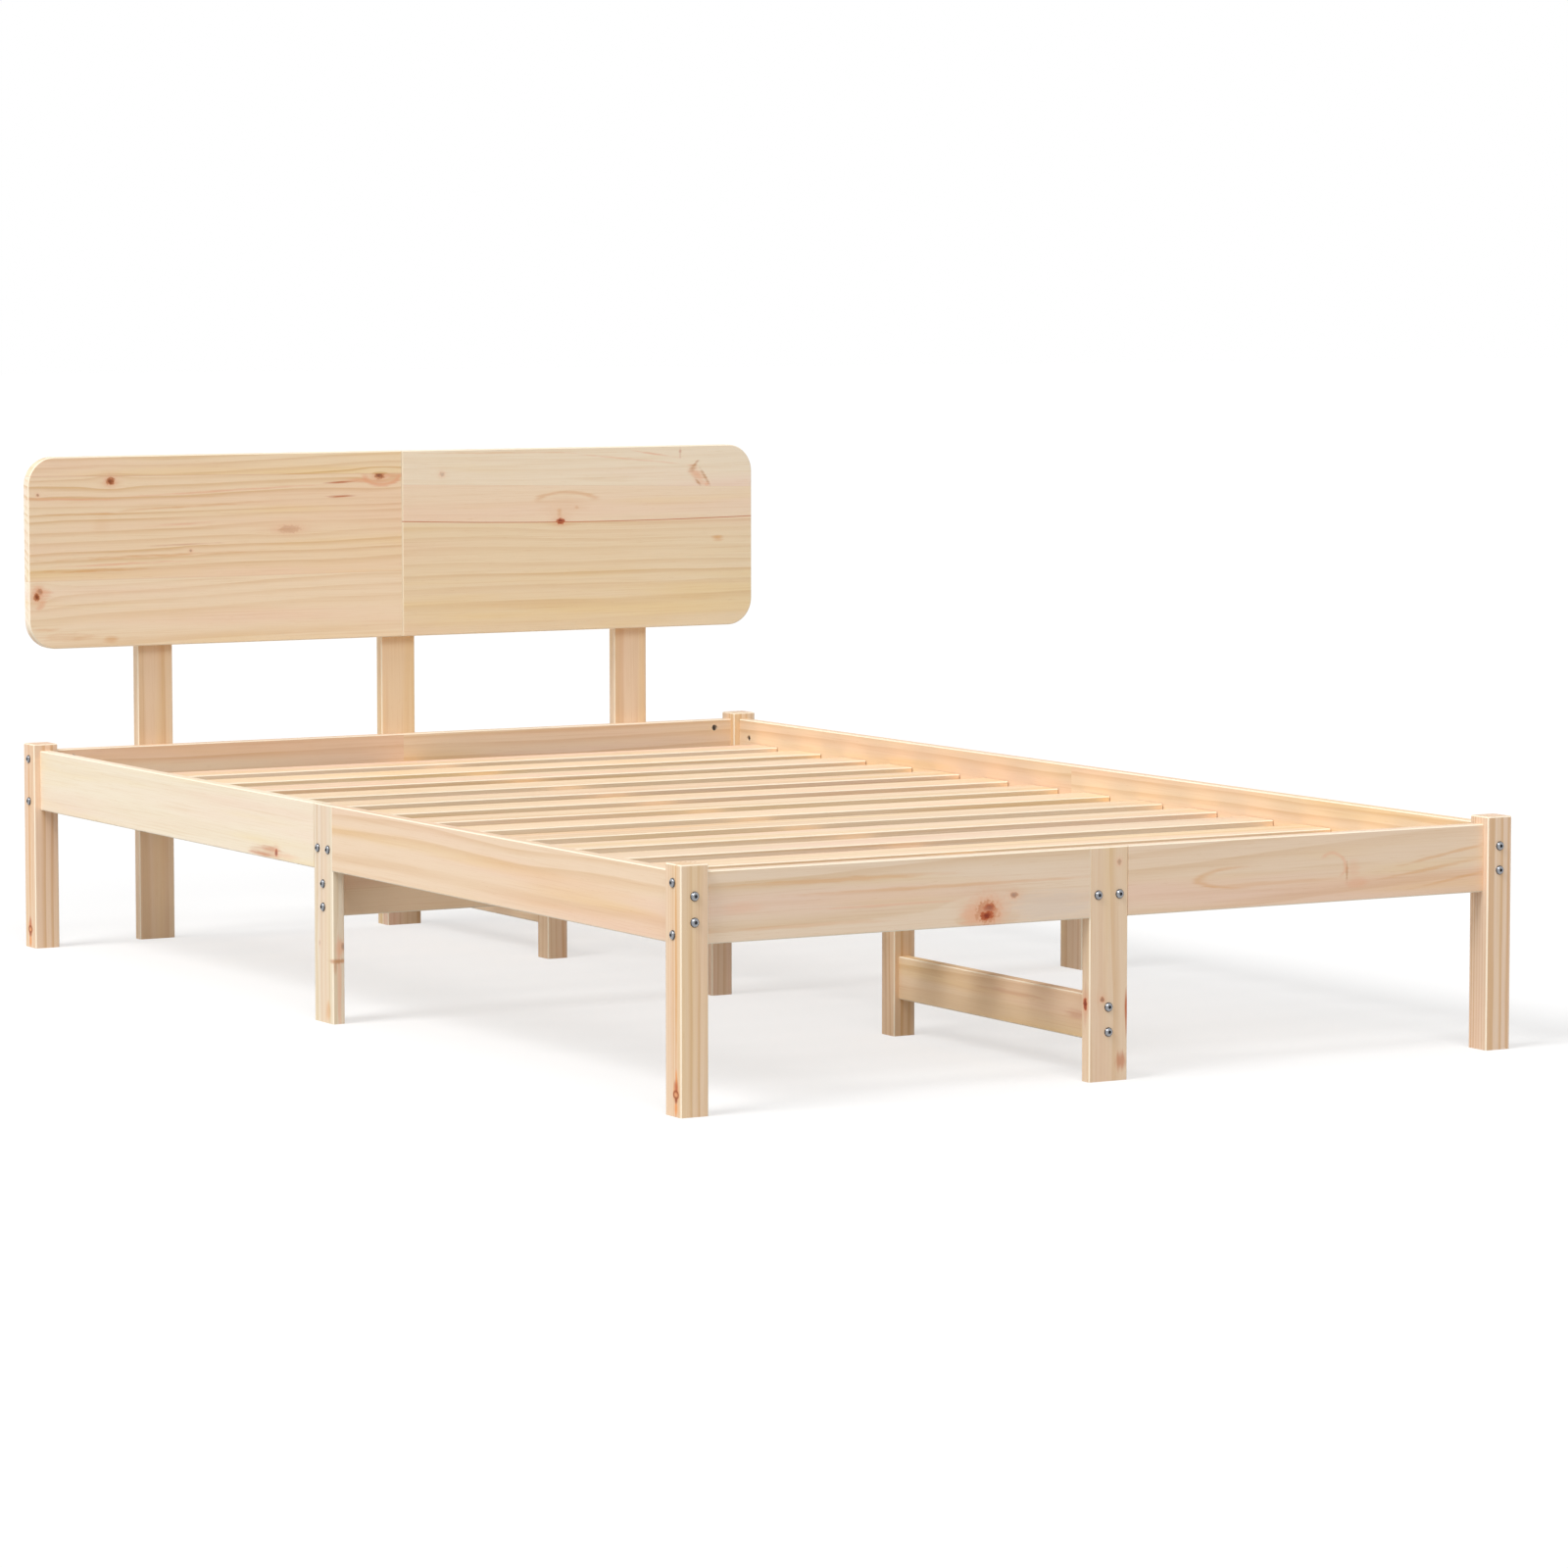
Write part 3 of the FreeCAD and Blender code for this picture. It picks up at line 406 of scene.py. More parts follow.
# Stains of resin and figured grain: after the middle and the radii, the colour, the strength and the
# slope along X
STAINS = {
    "headboard_panel_left": on_level(BEFORE_PANEL, STAIN_DEPTH, [
        (-0.1080, 0.6956, 0.0400, 0.0028, RUST, 1.0, 0.03),
        (-0.0720, 0.6985, 0.0340, 0.0060, SALMON, 0.60, 0.0),
        (-0.1080, 0.6740, 0.0420, 0.0024, RUST, 0.95, 0.02),
        (-0.0330, 0.7000, 0.0340, 0.0120, SALMON, 0.50, 0.0),
        (-0.0200, 0.7050, 0.0500, 0.0040, SALMON, 0.50, 0.0),
        (-0.5600, 0.4700, 0.0600, 0.0085, AMBER, 0.42, 0.0),
        (-0.4950, 0.4640, 0.0160, 0.0080, AMBER, 0.55, 0.0),
        (-0.6000, 0.4820, 0.0300, 0.0040, AMBER, 0.36, 0.0),
        (-0.6070, 0.5210, 0.0110, 0.0100, SALMON, 0.60, 0.8),
        (-0.6130, 0.5370, 0.0140, 0.0170, ORANGE, 0.40, 0.0),
        (-0.5990, 0.5370, 0.0140, 0.0100, SALMON, 0.65, 0.0),
        (-0.4300, 0.5900, 0.2300, 0.0034, AMBER, 0.55, 0.02),
        (-0.5200, 0.5700, 0.1200, 0.0040, AMBER, 0.60, 0.01),
        (-0.4700, 0.5790, 0.1500, 0.0026, SALMON, 0.60, 0.02),
        (-0.3700, 0.6060, 0.0700, 0.0020, RUST, 0.40, 0.02),
        (-0.5700, 0.6790, 0.1300, 0.0030, SALMON, 0.65, -0.02),
        (-0.3000, 0.6870, 0.2400, 0.0024, SALMON, 0.60, 0.04),
        (-0.3600, 0.6640, 0.1600, 0.0032, AMBER, 0.50, 0.04),
        (-0.5300, 0.6560, 0.1100, 0.0026, AMBER, 0.50, 0.0),
        (-0.3800, 0.6370, 0.0800, 0.0026, SALMON, 0.45, 0.03),
        (-0.5100, 0.6400, 0.0200, 0.0240, AMBER, 0.14, 0.0),
    ]),
    "headboard_panel_right": on_level(BEFORE_PANEL, STAIN_DEPTH, [
        (0.4450, 0.7310, 0.0500, 0.0020, SALMON, 0.60, -0.15),
        (0.4960, 0.7325, 0.0034, 0.0110, RUST, 0.50, 0.0),
        (0.3900, 0.7245, 0.1500, 0.0022, SALMON, 0.45, -0.10),
        (0.1700, 0.7370, 0.1800, 0.0024, AMBER, 0.36, -0.01),
        (0.5270, 0.6950, 0.0220, 0.0180, SALMON, 0.70, -0.6),
        (0.5190, 0.7060, 0.0100, 0.0080, TAN, 0.70, 0.3),
        (0.5235, 0.7130, 0.0100, 0.0050, TAN, 0.80, 0.9),
        (0.5410, 0.6930, 0.0140, 0.0070, TAN, 0.90, -1.4),
        (0.5280, 0.6845, 0.0090, 0.0055, TAN, 0.95, -1.0),
        (0.5450, 0.6800, 0.0060, 0.0060, ORANGE, 0.35, 0.0),
        (0.2850, 0.6520, 0.0560, 0.0240, AMBER, 0.14, 0.0),
        (0.2770, 0.6400, 0.0060, 0.0100, AMBER, 0.50, 0.0),
        (0.3080, 0.6485, 0.0050, 0.0040, AMBER, 0.35, 0.0),
        (0.5640, 0.5935, 0.0140, 0.0065, AMBER, 0.60, 0.0),
    ]),
    "foot_rail_left": on_level(FOOT_FRONT, STAIN_DEPTH, [
        (-0.4000, 0.2790, 0.1900, 0.0045, AMBER, 0.42, 0.0),
        (-0.2500, 0.2630, 0.2800, 0.0030, AMBER, 0.36, 0.0),
        (-0.2070, 0.2250, 0.0190, 0.0180, SALMON, 0.60, 0.0),
        (-0.1735, 0.2205, 0.0060, 0.0080, KNOT_HALO, 0.60, 0.0),
        (-0.0900, 0.2280, 0.0900, 0.0260, ASH, 0.55, 0.0),
        (-0.4500, 0.2250, 0.1600, 0.0036, AMBER, 0.30, 0.0),
        (-0.5400, 0.2520, 0.0400, 0.0090, SALMON, 0.25, 0.0),
        (-0.3300, 0.2440, 0.1200, 0.0026, SALMON, 0.36, 0.0),
    ]),
    "foot_rail_right": on_level(FOOT_FRONT, STAIN_DEPTH, [
        (0.3690, 0.2480, 0.0026, 0.0170, TAN, 0.80, 0.0),
        (0.3850, 0.2330, 0.0240, 0.0080, KNOT_HALO, 0.55, 0.0),
        (0.3800, 0.2520, 0.0120, 0.0140, SALMON, 0.26, 0.0),
        (0.5000, 0.2450, 0.1100, 0.0030, AMBER, 0.40, 0.12),
        (0.5300, 0.2640, 0.0900, 0.0030, AMBER, 0.42, 0.16),
        (0.5400, 0.2300, 0.0800, 0.0028, AMBER, 0.38, 0.14),
        (0.2500, 0.2400, 0.1200, 0.0036, AMBER, 0.28, 0.0),
    ]),
    "corner_post_foot_left": on_level(POST_LEFT, DEEP_STAIN, [
        (-1.0200, 0.1900, 0.0030, 0.2000, AMBER, 0.75, 0.0),
        (-1.0190, 0.0290, 0.0095, 0.0150, ORANGE, 0.65, 0.0),
        (-1.0195, 0.0375, 0.0062, 0.0130, RUST, 1.00, 0.0),
        (-1.0195, 0.0500, 0.0030, 0.0120, ORANGE, 0.80, 0.0),
        (-1.0190, 0.0110, 0.0056, 0.0130, ORANGE, 0.90, 0.0),
        (-1.0190, 0.0210, 0.0056, 0.0058, KNOT_HEART, 1.00, 0.0),
        (-1.0110, 0.1500, 0.0050, 0.1900, AMBER, 0.25, 0.0),
    ]),
    "corner_post_head_left": on_level(POST_LEFT, DEEP_STAIN, [
        (1.0045, 0.1700, 0.0038, 0.2000, AMBER, 0.65, 0.0),
        (1.0050, 0.0280, 0.0095, 0.0140, ORANGE, 0.75, 0.0),
        (1.0045, 0.0380, 0.0060, 0.0120, RUST, 0.90, 0.0),
        (1.0050, 0.0100, 0.0054, 0.0120, ORANGE, 0.85, 0.0),
        (1.0050, 0.0205, 0.0056, 0.0050, KNOT_HEART, 0.85, 0.0),
    ]),
    "corner_post_head_right": on_level(POST_RIGHT, DEEP_STAIN, [
        (1.0000, 0.1300, 0.0022, 0.1300, AMBER, 0.40, 0.0),
    ]),
    "middle_leg_foot": [
        ((0.0275, -1.0208, 0.0898), (0.0034, 0.012, 0.0340), RUST, 1.00, 0.0),
        ((0.0190, -1.0208, 0.0240), (0.0100, 0.020, 0.0150), RUST, 0.62, 0.0),
        ((-0.0290, -1.0120, 0.1000), (0.010, 0.008, 0.0300), RUST, 0.35, 0.0),
    ],
    "side_rail_left_head": on_level(SIDE_LEFT, STAIN_DEPTH, [
        (0.1750, 0.2190, 0.0650, 0.0120, TAN, 0.45, 0.0),
        (0.1680, 0.2235, 0.0450, 0.0050, RUST, 0.45, 0.0),
        (0.1950, 0.2145, 0.0550, 0.0036, RUST, 0.55, 0.0),
        (0.1100, 0.2180, 0.0450, 0.0060, SALMON, 0.30, 0.0),
    ]),
    "middle_leg_left": on_level(SIDE_LEFT, STAIN_DEPTH, [
        (-0.0175, 0.0160, 0.0095, 0.0170, AMBER, 0.50, 0.0),
    ]) + on_level(LEG_FRONT, STAIN_DEPTH, [
        (-0.6070, 0.0500, 0.0042, 0.1000, SALMON, 0.50, 0.0),
        (-0.6080, 0.1010, 0.0060, 0.0220, SALMON, 0.60, 0.0),
        (-0.6080, 0.0865, 0.0160, 0.0046, TAN, 1.00, 0.0),
        (-0.6130, 0.0800, 0.0036, 0.0130, TAN, 0.60, 0.0),
    ]),
    "stretcher_foot": on_level(STRETCHER_LEFT, DEEP_STAIN, [
        (-0.9596, 0.0791, 0.0350, 0.0080, RUST, 0.35, 0.0),
        (-0.8000, 0.0900, 0.0900, 0.0050, RUST, 0.25, 0.0),
    ]),
}

# Rings of figured grain: after the middle and the radii, the colour, the strength, the half thickness as
# a share of the radii, and the way along X and up that the visible half faces, where only half shows
ARCS = {
    "headboard_panel_left": on_level(BEFORE_PANEL, STAIN_DEPTH, [
        (-0.0350, 0.7070, 0.0400, 0.0210, SALMON, 0.80, 0.18, (0, -1)),
    ]),
    "headboard_panel_right": on_level(BEFORE_PANEL, STAIN_DEPTH, [
        (0.2900, 0.6600, 0.0660, 0.0160, AMBER, 0.42, 0.18, (0, 1)),
    ]),
    "foot_rail_right": on_level(FOOT_FRONT, STAIN_DEPTH, [
        (0.2100, 0.2500, 0.0800, 0.0150, AMBER, 0.40, 0.18, (-1, 0)),
        (0.3450, 0.2560, 0.0240, 0.0200, SALMON, 0.45, 0.18, (1, 1)),
    ]),
    "corner_post_foot_left": on_level(POST_LEFT, DEEP_STAIN, [
        (-1.0190, 0.0275, 0.0062, 0.0050, KNOT_HEART, 1.0, 0.50, None),
    ]),
    "corner_post_head_left": on_level(POST_LEFT, DEEP_STAIN, [
        (1.0050, 0.0275, 0.0062, 0.0054, KNOT_HEART, 1.0, 0.55, None),
    ]),
}

# The glued staves of the headboard: the tone and band strength of the lowest, and then, for each glue
# line going up, its height, its slope and its bow along X, how dark it is, and the tone and band strength
# of the stave above
STAVES = {
    "headboard_panel_left": (((0.95, 0.78, 0.58), 0.6), [
        (0.5555, 0.0, 0.0, 0.10, (0.935, 0.745, 0.53), 1.2),
        (0.7076, -0.0110, 0.0, 0.22, (0.94, 0.76, 0.54), 1.1),
    ]),
    "headboard_panel_right": (((0.90, 0.74, 0.525), 0.9), [
        (0.6325, -0.0395, 0.0510, 0.85, PEACH, 0.14),
        (0.6898, -0.0230, 0.0, 0.06, (0.935, 0.815, 0.645), 0.25),
    ]),
}


def look_of(name):
    """The looks of one board."""
    look = dict(PLAIN_LOOK)
    for start, changes in LOOKS.items():
        if name.startswith(start):
            look.update(changes)
    return look


def grain_axes(name):
    """The numbers of the axes along, across and through the grain of one board."""
    letters = next(letters for start, letters in BOARD_AXES.items() if name.startswith(start))
    return ["XYZ".index(letter) for letter in letters]


def pine(name, seed):
    """The planed pine of one board."""
    net = Net(bpy.data.materials.new(name))
    look = look_of(name)
    axes = grain_axes(name)
    along, across, through = axes
    chance = random.Random(seed)
    lightness, warmth = [chance.uniform(*TONE_RANGE) for _ in range(2)]
    pith = [value * chance.uniform(*PITH_RANGE) for value in look["pith"]]
    red, green, blue = look["tone"]
    tone = (red * lightness, green * lightness, blue * lightness * warmth)
    place = net.add("ShaderNodeTexCoord", {}, "Object")
    colour, bands, stave, lines = read_staves(net, name, place, tone, look["bands"])

    middle = [(low + high) / 2 for low, high in zip(*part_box(name))]
    parts = net.split(net.vector("SUBTRACT", place, middle))
    shift = net.math("MULTIPLY_ADD", stave, STAVE_SHIFT, seed * BOARD_SHIFT)
    grain = net.join(*[net.math("ADD", parts[axis], shift) for axis in axes])
    wide = net.math("MULTIPLY_ADD", parts[along], look["slope"], parts[across])
    wide, thick = bend_round_knots(net, place, [wide, parts[through]], axes, KNOTS.get(name, ()))
    late = late_wood(net, grain, wide, thick, look, pith, stave, shift)

    noises = {}
    for tint, (noise, reach, share, factor) in TINTS.items():
        noises[tint] = net.noise(grain, *noise)
        colour = net.times(net.ease(noises[tint], *reach, 0.0, share), colour, factor)
    patches = net.ease(net.noise(grain, *RING_PATCHES), *PATCH_REACH)
    darkness = net.math("MULTIPLY", late, net.math("MULTIPLY", patches, bands))
    colour = net.times(darkness, colour, LATE_SHARE)

    normal = net.split(net.vector("ABSOLUTE", net.add("ShaderNodeNewGeometry", {}, "True Normal")))
    end_share = PALE_END_SHARE if name.startswith("headboard_panel") else END_SHARE
    colour = net.times(net.ease(normal[along], *END_GRAIN), colour, end_share)
    # Bevelled arrises: paler cut wood and a painted highlight
    colour = net.mix(arris_highlight_share(net, normal, through, name), colour, ARRIS_HIGHLIGHT)
    drift = net.noise(grain, *DRIFT)
    colour = draw_stains(net, name, place, drift, stave, colour)
    colour = draw_arcs(net, name, place, drift, stave, colour)
    colour = draw_knots(net, name, place, stave, colour)
    for gap, strength in lines:
        colour = net.mix(net.ease(gap, *GLUE_LINE, strength, 0.0), colour, RUST)
    height = net.math("MULTIPLY_ADD", late, RING_RELIEF, noises["fibre"])
    return net.surface(colour, WOOD_ROUGHNESS, height=height, depth=RELIEF)


def read_staves(net, name, place, tone, bands):
    """The tone, the band strength, the number of the stave, and for each glue line the gap to it."""
    number = 0.0
    lines = []
    if name not in STAVES:
        return (*tone, 1), bands, number, lines
    x, _, z = net.split(place)
    (tone, bands), above = STAVES[name]
    tone = (*tone, 1)
    for height, slope, bow, darkness, next_tone, next_bands in above:
        rise = net.math("MULTIPLY_ADD", x, bow, slope)
        over = net.math("SUBTRACT", z, net.math("MULTIPLY_ADD", x, rise, height))
        is_above = net.math("GREATER_THAN", over, 0.0)
        number = net.math("ADD", number, is_above)
        tone = net.mix(is_above, tone, (*next_tone, 1))
        bands = net.ease(is_above, 0.0, 1.0, bands, next_bands)
        lines.append((net.math("ABSOLUTE", over), darkness))
    return tone, bands, number, lines


def bend_round_knots(net, place, sideways, axes, knots):
    """Bends the grain round each knot. Sideways are the places across and through the grain."""
    along = axes[0]
    for middle, radii, *_ in knots:
        reaches = list(radii)
        reaches[along] *= KNOT_STRETCH
        reach = net.vector("DIVIDE", net.vector("SUBTRACT", place, middle), reaches)
        steps = net.vector("LENGTH", reach, output="Value")
        push = net.math("DIVIDE", KNOT_PUSH, net.math("MULTIPLY_ADD", steps, steps, KNOT_SOFTNESS))
        parts = net.split(reach)
        for number, axis in enumerate(axes[1:]):
            shift = net.math("MULTIPLY", parts[axis], net.math("MULTIPLY", push, radii[axis]))
            sideways[number] = net.math("SUBTRACT", sideways[number], shift)
    return sideways


def late_wood(net, grain, wide, thick, look, pith, stave, shift):
    """How much of a place is late wood, from the year rings round the pith."""
    wide = net.math("MULTIPLY_ADD", net.noise(grain, *WAVE), look["wander"], wide)
    wide = net.math("MULTIPLY_ADD", net.noise(grain, *RIPPLE), RIPPLE_DEPTH, wide)
    pith_across = net.math("MULTIPLY_ADD", stave, STAVE_PITH_STEP, pith[0])
    from_pith = (net.math("SUBTRACT", wide, pith_across), net.math("SUBTRACT", thick, pith[1]))
    radius = net.vector("LENGTH", net.join(*from_pith, 0.0), output="Value")
    uneven = net.noise(net.join(radius, shift, 0.0), *RING_NOISE)
    phase = net.math("MULTIPLY_ADD", uneven, RING_STRAY, net.math("DIVIDE", radius, look["rings"]))
    ring = net.math("FRACT", phase)
    late = net.math("MULTIPLY", net.ease(ring, *LATE_RISE), net.ease(ring, *LATE_FALL, 1.0, 0.0))
    number = net.math("ADD", net.math("FLOOR", phase), shift)
    luck = net.add("ShaderNodeTexWhiteNoise", {"W": number}, "Value", noise_dimensions="1D")
    return net.math("MULTIPLY", late, net.math("MULTIPLY_ADD", luck, *RING_LUCK))


def steps_from(net, place, middle, radii, slope=0.0):
    """How many radii a place is from the middle of a mark, which may slope up along X."""
    offset = net.vector("SUBTRACT", place, middle)
    if slope:
        rise = net.math("MULTIPLY", net.split(offset)[0], -slope)
        offset = net.vector("ADD", offset, net.join(0.0, 0.0, rise))
    return net.vector("LENGTH", net.vector("DIVIDE", offset, radii), output="Value")


def own_stave(net, name, stave, middle):
    """One in the stave that a mark's middle lies in, and zero in the others."""
    x, _, z = middle
    above = STAVES[name][1] if name in STAVES else ()
    number = sum(z > height + (slope + bow * x) * x for height, slope, bow, *_ in above)
    return net.math("COMPARE", stave, float(number), 0.5)


def draw_stains(net, name, place, drift, stave, colour):
    """Lays the stains over the wood."""
    for middle, radii, stain, strength, slope in STAINS.get(name, ()):
        steps = net.math("MULTIPLY_ADD", drift, STAIN_DRIFT, steps_from(net, place, middle, radii, slope))
        share = net.ease(steps, *STAIN_EDGE, strength, 0.0)
        share = net.math("MULTIPLY", share, own_stave(net, name, stave, middle))
        colour = net.mix(share, colour, stain)
    return colour


def draw_arcs(net, name, place, drift, stave, colour):
    """Lays the arcs over the stains."""
    for middle, radii, stain, strength, thickness, facing in ARCS.get(name, ()):
        steps = net.math("MULTIPLY_ADD", drift, ARC_DRIFT, steps_from(net, place, middle, radii))
        beside = net.math("ABSOLUTE", net.math("SUBTRACT", steps, ARC_RADIUS))
        share = net.ease(beside, 0.0, thickness, strength, 0.0)
        share = net.math("MULTIPLY", share, own_stave(net, name, stave, middle))
        if facing:
            outward = net.vector("DIVIDE", net.vector("SUBTRACT", place, middle), radii)
            over = net.vector("DOT_PRODUCT", outward, (facing[0], 0.0, facing[1]), output="Value")
            share = net.math("MULTIPLY", share, net.ease(over, *HALF_ARC))
        colour = net.mix(share, colour, stain)
    return colour


def draw_knots(net, name, place, stave, colour):
    """Lays the knots over all other marks."""
    crumple = net.noise(place, *CRUMPLE)
    for middle, radii, kind, darkness, is_cut in KNOTS.get(name, ()):
        steps = net.math("MULTIPLY_ADD", crumple, KNOT_DRIFT, steps_from(net, place, middle, radii))
        shade, share = net.ramp(net.math("DIVIDE", steps, KNOT_REACH), knot_ramp(kind))
        share = net.math("MULTIPLY", share, darkness)
        if is_cut:
            share = net.math("MULTIPLY", share, own_stave(net, name, stave, middle))
        colour = net.mix(share, colour, shade)
    return colour


def knot_ramp(kind):
    """The places, colours and shares of a knot's ramp."""
    *colours, halo = KNOT_KINDS[kind]
    stops = [(place, colour, share) for colour, (place, share) in zip(colours, KNOT_STOPS)]
    return stops + [(place, KNOT_HALO, share * halo) for place, share in HALO_STOPS]


def arris_highlight_share(net, normal, through, name):
    """Picks the bevelled arrises by their slanting faces, for their paler cut wood and painted highlight."""
    if name.startswith("corner_post"):
        largest = net.math("MAXIMUM", net.math("MAXIMUM", normal[0], normal[1]), normal[2])
        return net.ease(largest, *POST_ARRIS_HIGHLIGHT, ARRIS_HIGHLIGHT_STRENGTH, 0.0)
    flat = normal[through]
    rising = net.ease(flat, *BOARD_ARRIS_HIGHLIGHT_IN, 0.0, ARRIS_HIGHLIGHT_STRENGTH)
    return net.math("MULTIPLY", rising, net.ease(flat, *BOARD_ARRIS_HIGHLIGHT_OUT, 1.0, 0.0))


# Bolts, screws and barrel nuts, in millimetres. A ring of a dome is its radius, its height and its painted
# light, and a ring of the socket its height and its painted light. Below 1 a ring gets painted shade, full
# at
# 0, which darkens the rims of the heads and the sockets.
MM = 0.001
SIDES = 24
# Painted light of the shank and of the neck under the head, which get painted shade
SHANK_PAINTED_LIGHT = 0.6
NECK_PAINTED_LIGHT = 0.3
BOLT_DOME = [
    (6.0, 0.0, 0.05),
    (6.0, 0.6, 0.08),
    (5.8, 1.25, 0.2),
    (5.3, 1.95, 0.6),
    (4.5, 2.6, 1.0),
    (3.6, 3.1, 1.0),
    (3.0, 3.3, 1.0),
]
BOLT_HEAD = 3.3
BOLT_RADIUS = 2.95
BOLT_TIP_RADIUS = 2.5
BEVEL = 0.6
SOCKET_ACROSS = 4.0
SOCKET_RINGS = [(3.3, 0.5), (3.2, 0.0), (1.3, 0.0)]
SOCKET_TIP = 0.9
SCREW_DOME = [
    (4.0, 0.0, 0.2),
    (4.0, 0.5, 0.4),
    (3.8, 1.05, 1.0),
    (3.2, 1.65, 1.0),
    (2.3, 2.15, 1.0),
    (1.2, 2.38, 1.0),
]
SCREW_HEAD = 2.4
SCREW_RADIUS = 1.9
SCREW_TIP_RADIUS = 0.3
SCREW_POINT = 5
CROSS_LENGTH = 4.6
CROSS_WIDTH = 0.9
NUT_RADIUS = 4.95
# Painted light of a barrel nut's sides and ends
NUT_SIDE_PAINTED_LIGHT = 0.8
NUT_END_PAINTED_LIGHT = 1.0
SLOT_LENGTH = 12
SLOT_WIDTH = 1.3
CUTTER_HEIGHT = 2.4

# The angle in degrees beyond which an edge of a fastener is sharp
SHARP_ANGLE = 38

# Points of a plain fastener closer than this, in metres, are one, and those farther out than this share
# of its widest radius are on its head
SAME_SPOT = 0.00002
HEAD_CORNER_SHARE = 0.75


def circle(radius, height):
    """The points of one ring."""
    angles = [math.tau * step / SIDES for step in range(SIDES)]
    return [(radius * math.cos(angle), radius * math.sin(angle), height) for angle in angles]


def hexagon(across, height):
    """The points of a hexagonal ring, as many as on a round one."""
    points = []
    for step in range(SIDES):
        angle = math.tau * step / SIDES
        radius = across / 2 / math.cos(angle % (math.pi / 3) - math.pi / 6)
        points.append((radius * math.cos(angle), radius * math.sin(angle), height))
    return points


def shank(length, radius, tip_radius, tip_length):
    """The rings of a shank, from its tip up to its neck at the seat."""
    return [
        (circle(tip_radius, -length), SHANK_PAINTED_LIGHT),
        (circle(radius, tip_length - length), SHANK_PAINTED_LIGHT),
        (circle(radius, 0.0), NECK_PAINTED_LIGHT),
    ]


def dome(rings):
    """The rings of a domed head, from the seat up."""
    return [(circle(radius, height), painted_light) for radius, height, painted_light in rings]


def painted_light_mesh(name, points, faces, painted_light):
    """A mesh that keeps the painted light of each of its points, below 1 for painted shade."""
    mesh = bpy.data.meshes.new(name)
    mesh.from_pydata(points, [], faces)
    mesh.attributes.new("painted_light", "FLOAT", "POINT").data.foreach_set("value", painted_light)
    return mesh


def turned(name, rings, low_tip, high_tip):
    """A turned piece through rings of points, each with its painted light, closed at both tips."""
    points = [(0, 0, low_tip)]
    painted_light = [rings[0][1]]
    for ring, painted_level in rings:
        points += ring
        painted_light += [painted_level] * SIDES
    points.append((0, 0, high_tip))
    painted_light.append(rings[-1][1])
    faces = []
    last = len(rings) - 1
    for step in range(SIDES):
        after = (step + 1) % SIDES
        faces.append((0, 1 + after, 1 + step))
        for level in range(last):
            low = 1 + level * SIDES
            high = low + SIDES
            faces.append((low + step, low + after, high + after, high + step))
        faces.append((1 + last * SIDES + step, 1 + last * SIDES + after, len(points) - 1))
    return painted_light_mesh(name, points, faces, painted_light)


def cut(mesh, boxes):
    """Cuts boxes, each a middle and a size, out of a mesh."""
    piece = bpy.data.objects.new("blank", mesh)
    bpy.context.scene.collection.objects.link(piece)
    cutters = []
    for middle, size in boxes:
        bpy.ops.mesh.primitive_cube_add(size=1, location=middle)
        cutter = bpy.context.object
        cutter.scale = size
        cutters.append(cutter)
        modifier = piece.modifiers.new("cut", "BOOLEAN")
        modifier.object = cutter
        modifier.solver = "EXACT"
    bpy.context.view_layer.update()
    result = bpy.data.meshes.new_from_object(piece.evaluated_get(bpy.context.evaluated_depsgraph_get()))
    for thing in [piece] + cutters:
        bpy.data.objects.remove(thing)
    return result


def bolt_mesh(length):
    """A bolt with a domed head and a hexagon socket, its seat on the floor plane."""
    rings = shank(length, BOLT_RADIUS, BOLT_TIP_RADIUS, BEVEL) + dome(BOLT_DOME)
    rings += [(hexagon(SOCKET_ACROSS, height), painted_light) for height, painted_light in SOCKET_RINGS]
    return turned("bolt", rings, -length, SOCKET_TIP)


def screw_mesh(length):
    """A pan-head screw with a cross recess, its seat on the floor plane."""
    rings = shank(length, SCREW_RADIUS, SCREW_TIP_RADIUS, SCREW_POINT) + dome(SCREW_DOME)
    whole = turned("screw", rings, -length, SCREW_HEAD)
    arms = [(CROSS_LENGTH, CROSS_WIDTH, CUTTER_HEIGHT), (CROSS_WIDTH, CROSS_LENGTH, CUTTER_HEIGHT)]
    return cut(whole, [((0, 0, SCREW_HEAD), arm) for arm in arms])


def nut_mesh(length):
    """A barrel nut with a slot in each end, centred on its own middle."""
    half = length / 2
    rings = [
        (circle(NUT_RADIUS - BEVEL, -half), NUT_END_PAINTED_LIGHT),
        (circle(NUT_RADIUS, BEVEL - half), NUT_SIDE_PAINTED_LIGHT),
        (circle(NUT_RADIUS, half - BEVEL), NUT_SIDE_PAINTED_LIGHT),
        (circle(NUT_RADIUS - BEVEL, half), NUT_END_PAINTED_LIGHT),
    ]
    slot = (SLOT_LENGTH, SLOT_WIDTH, CUTTER_HEIGHT)
    return cut(turned("nut", rings, -half, half), [((0, 0, half), slot), ((0, 0, -half), slot)])


def islands(mesh):
    """The points of each separate solid of a mesh in which every face has points of its own."""
    spots = [tuple(round(value / SAME_SPOT) for value in vertex.co) for vertex in mesh.vertices]
    leader = {spot: spot for spot in spots}

    def find(spot):
        while leader[spot] != spot:
            leader[spot] = leader[leader[spot]]
            spot = leader[spot]
        return spot

    for edge in mesh.edges:
        first, second = (find(spots[index]) for index in edge.vertices)
        leader[first] = second
    groups = {}
    for spot, vertex in zip(spots, mesh.vertices):
        groups.setdefault(find(spot), []).append(vertex.co.copy())
    return list(groups.values())


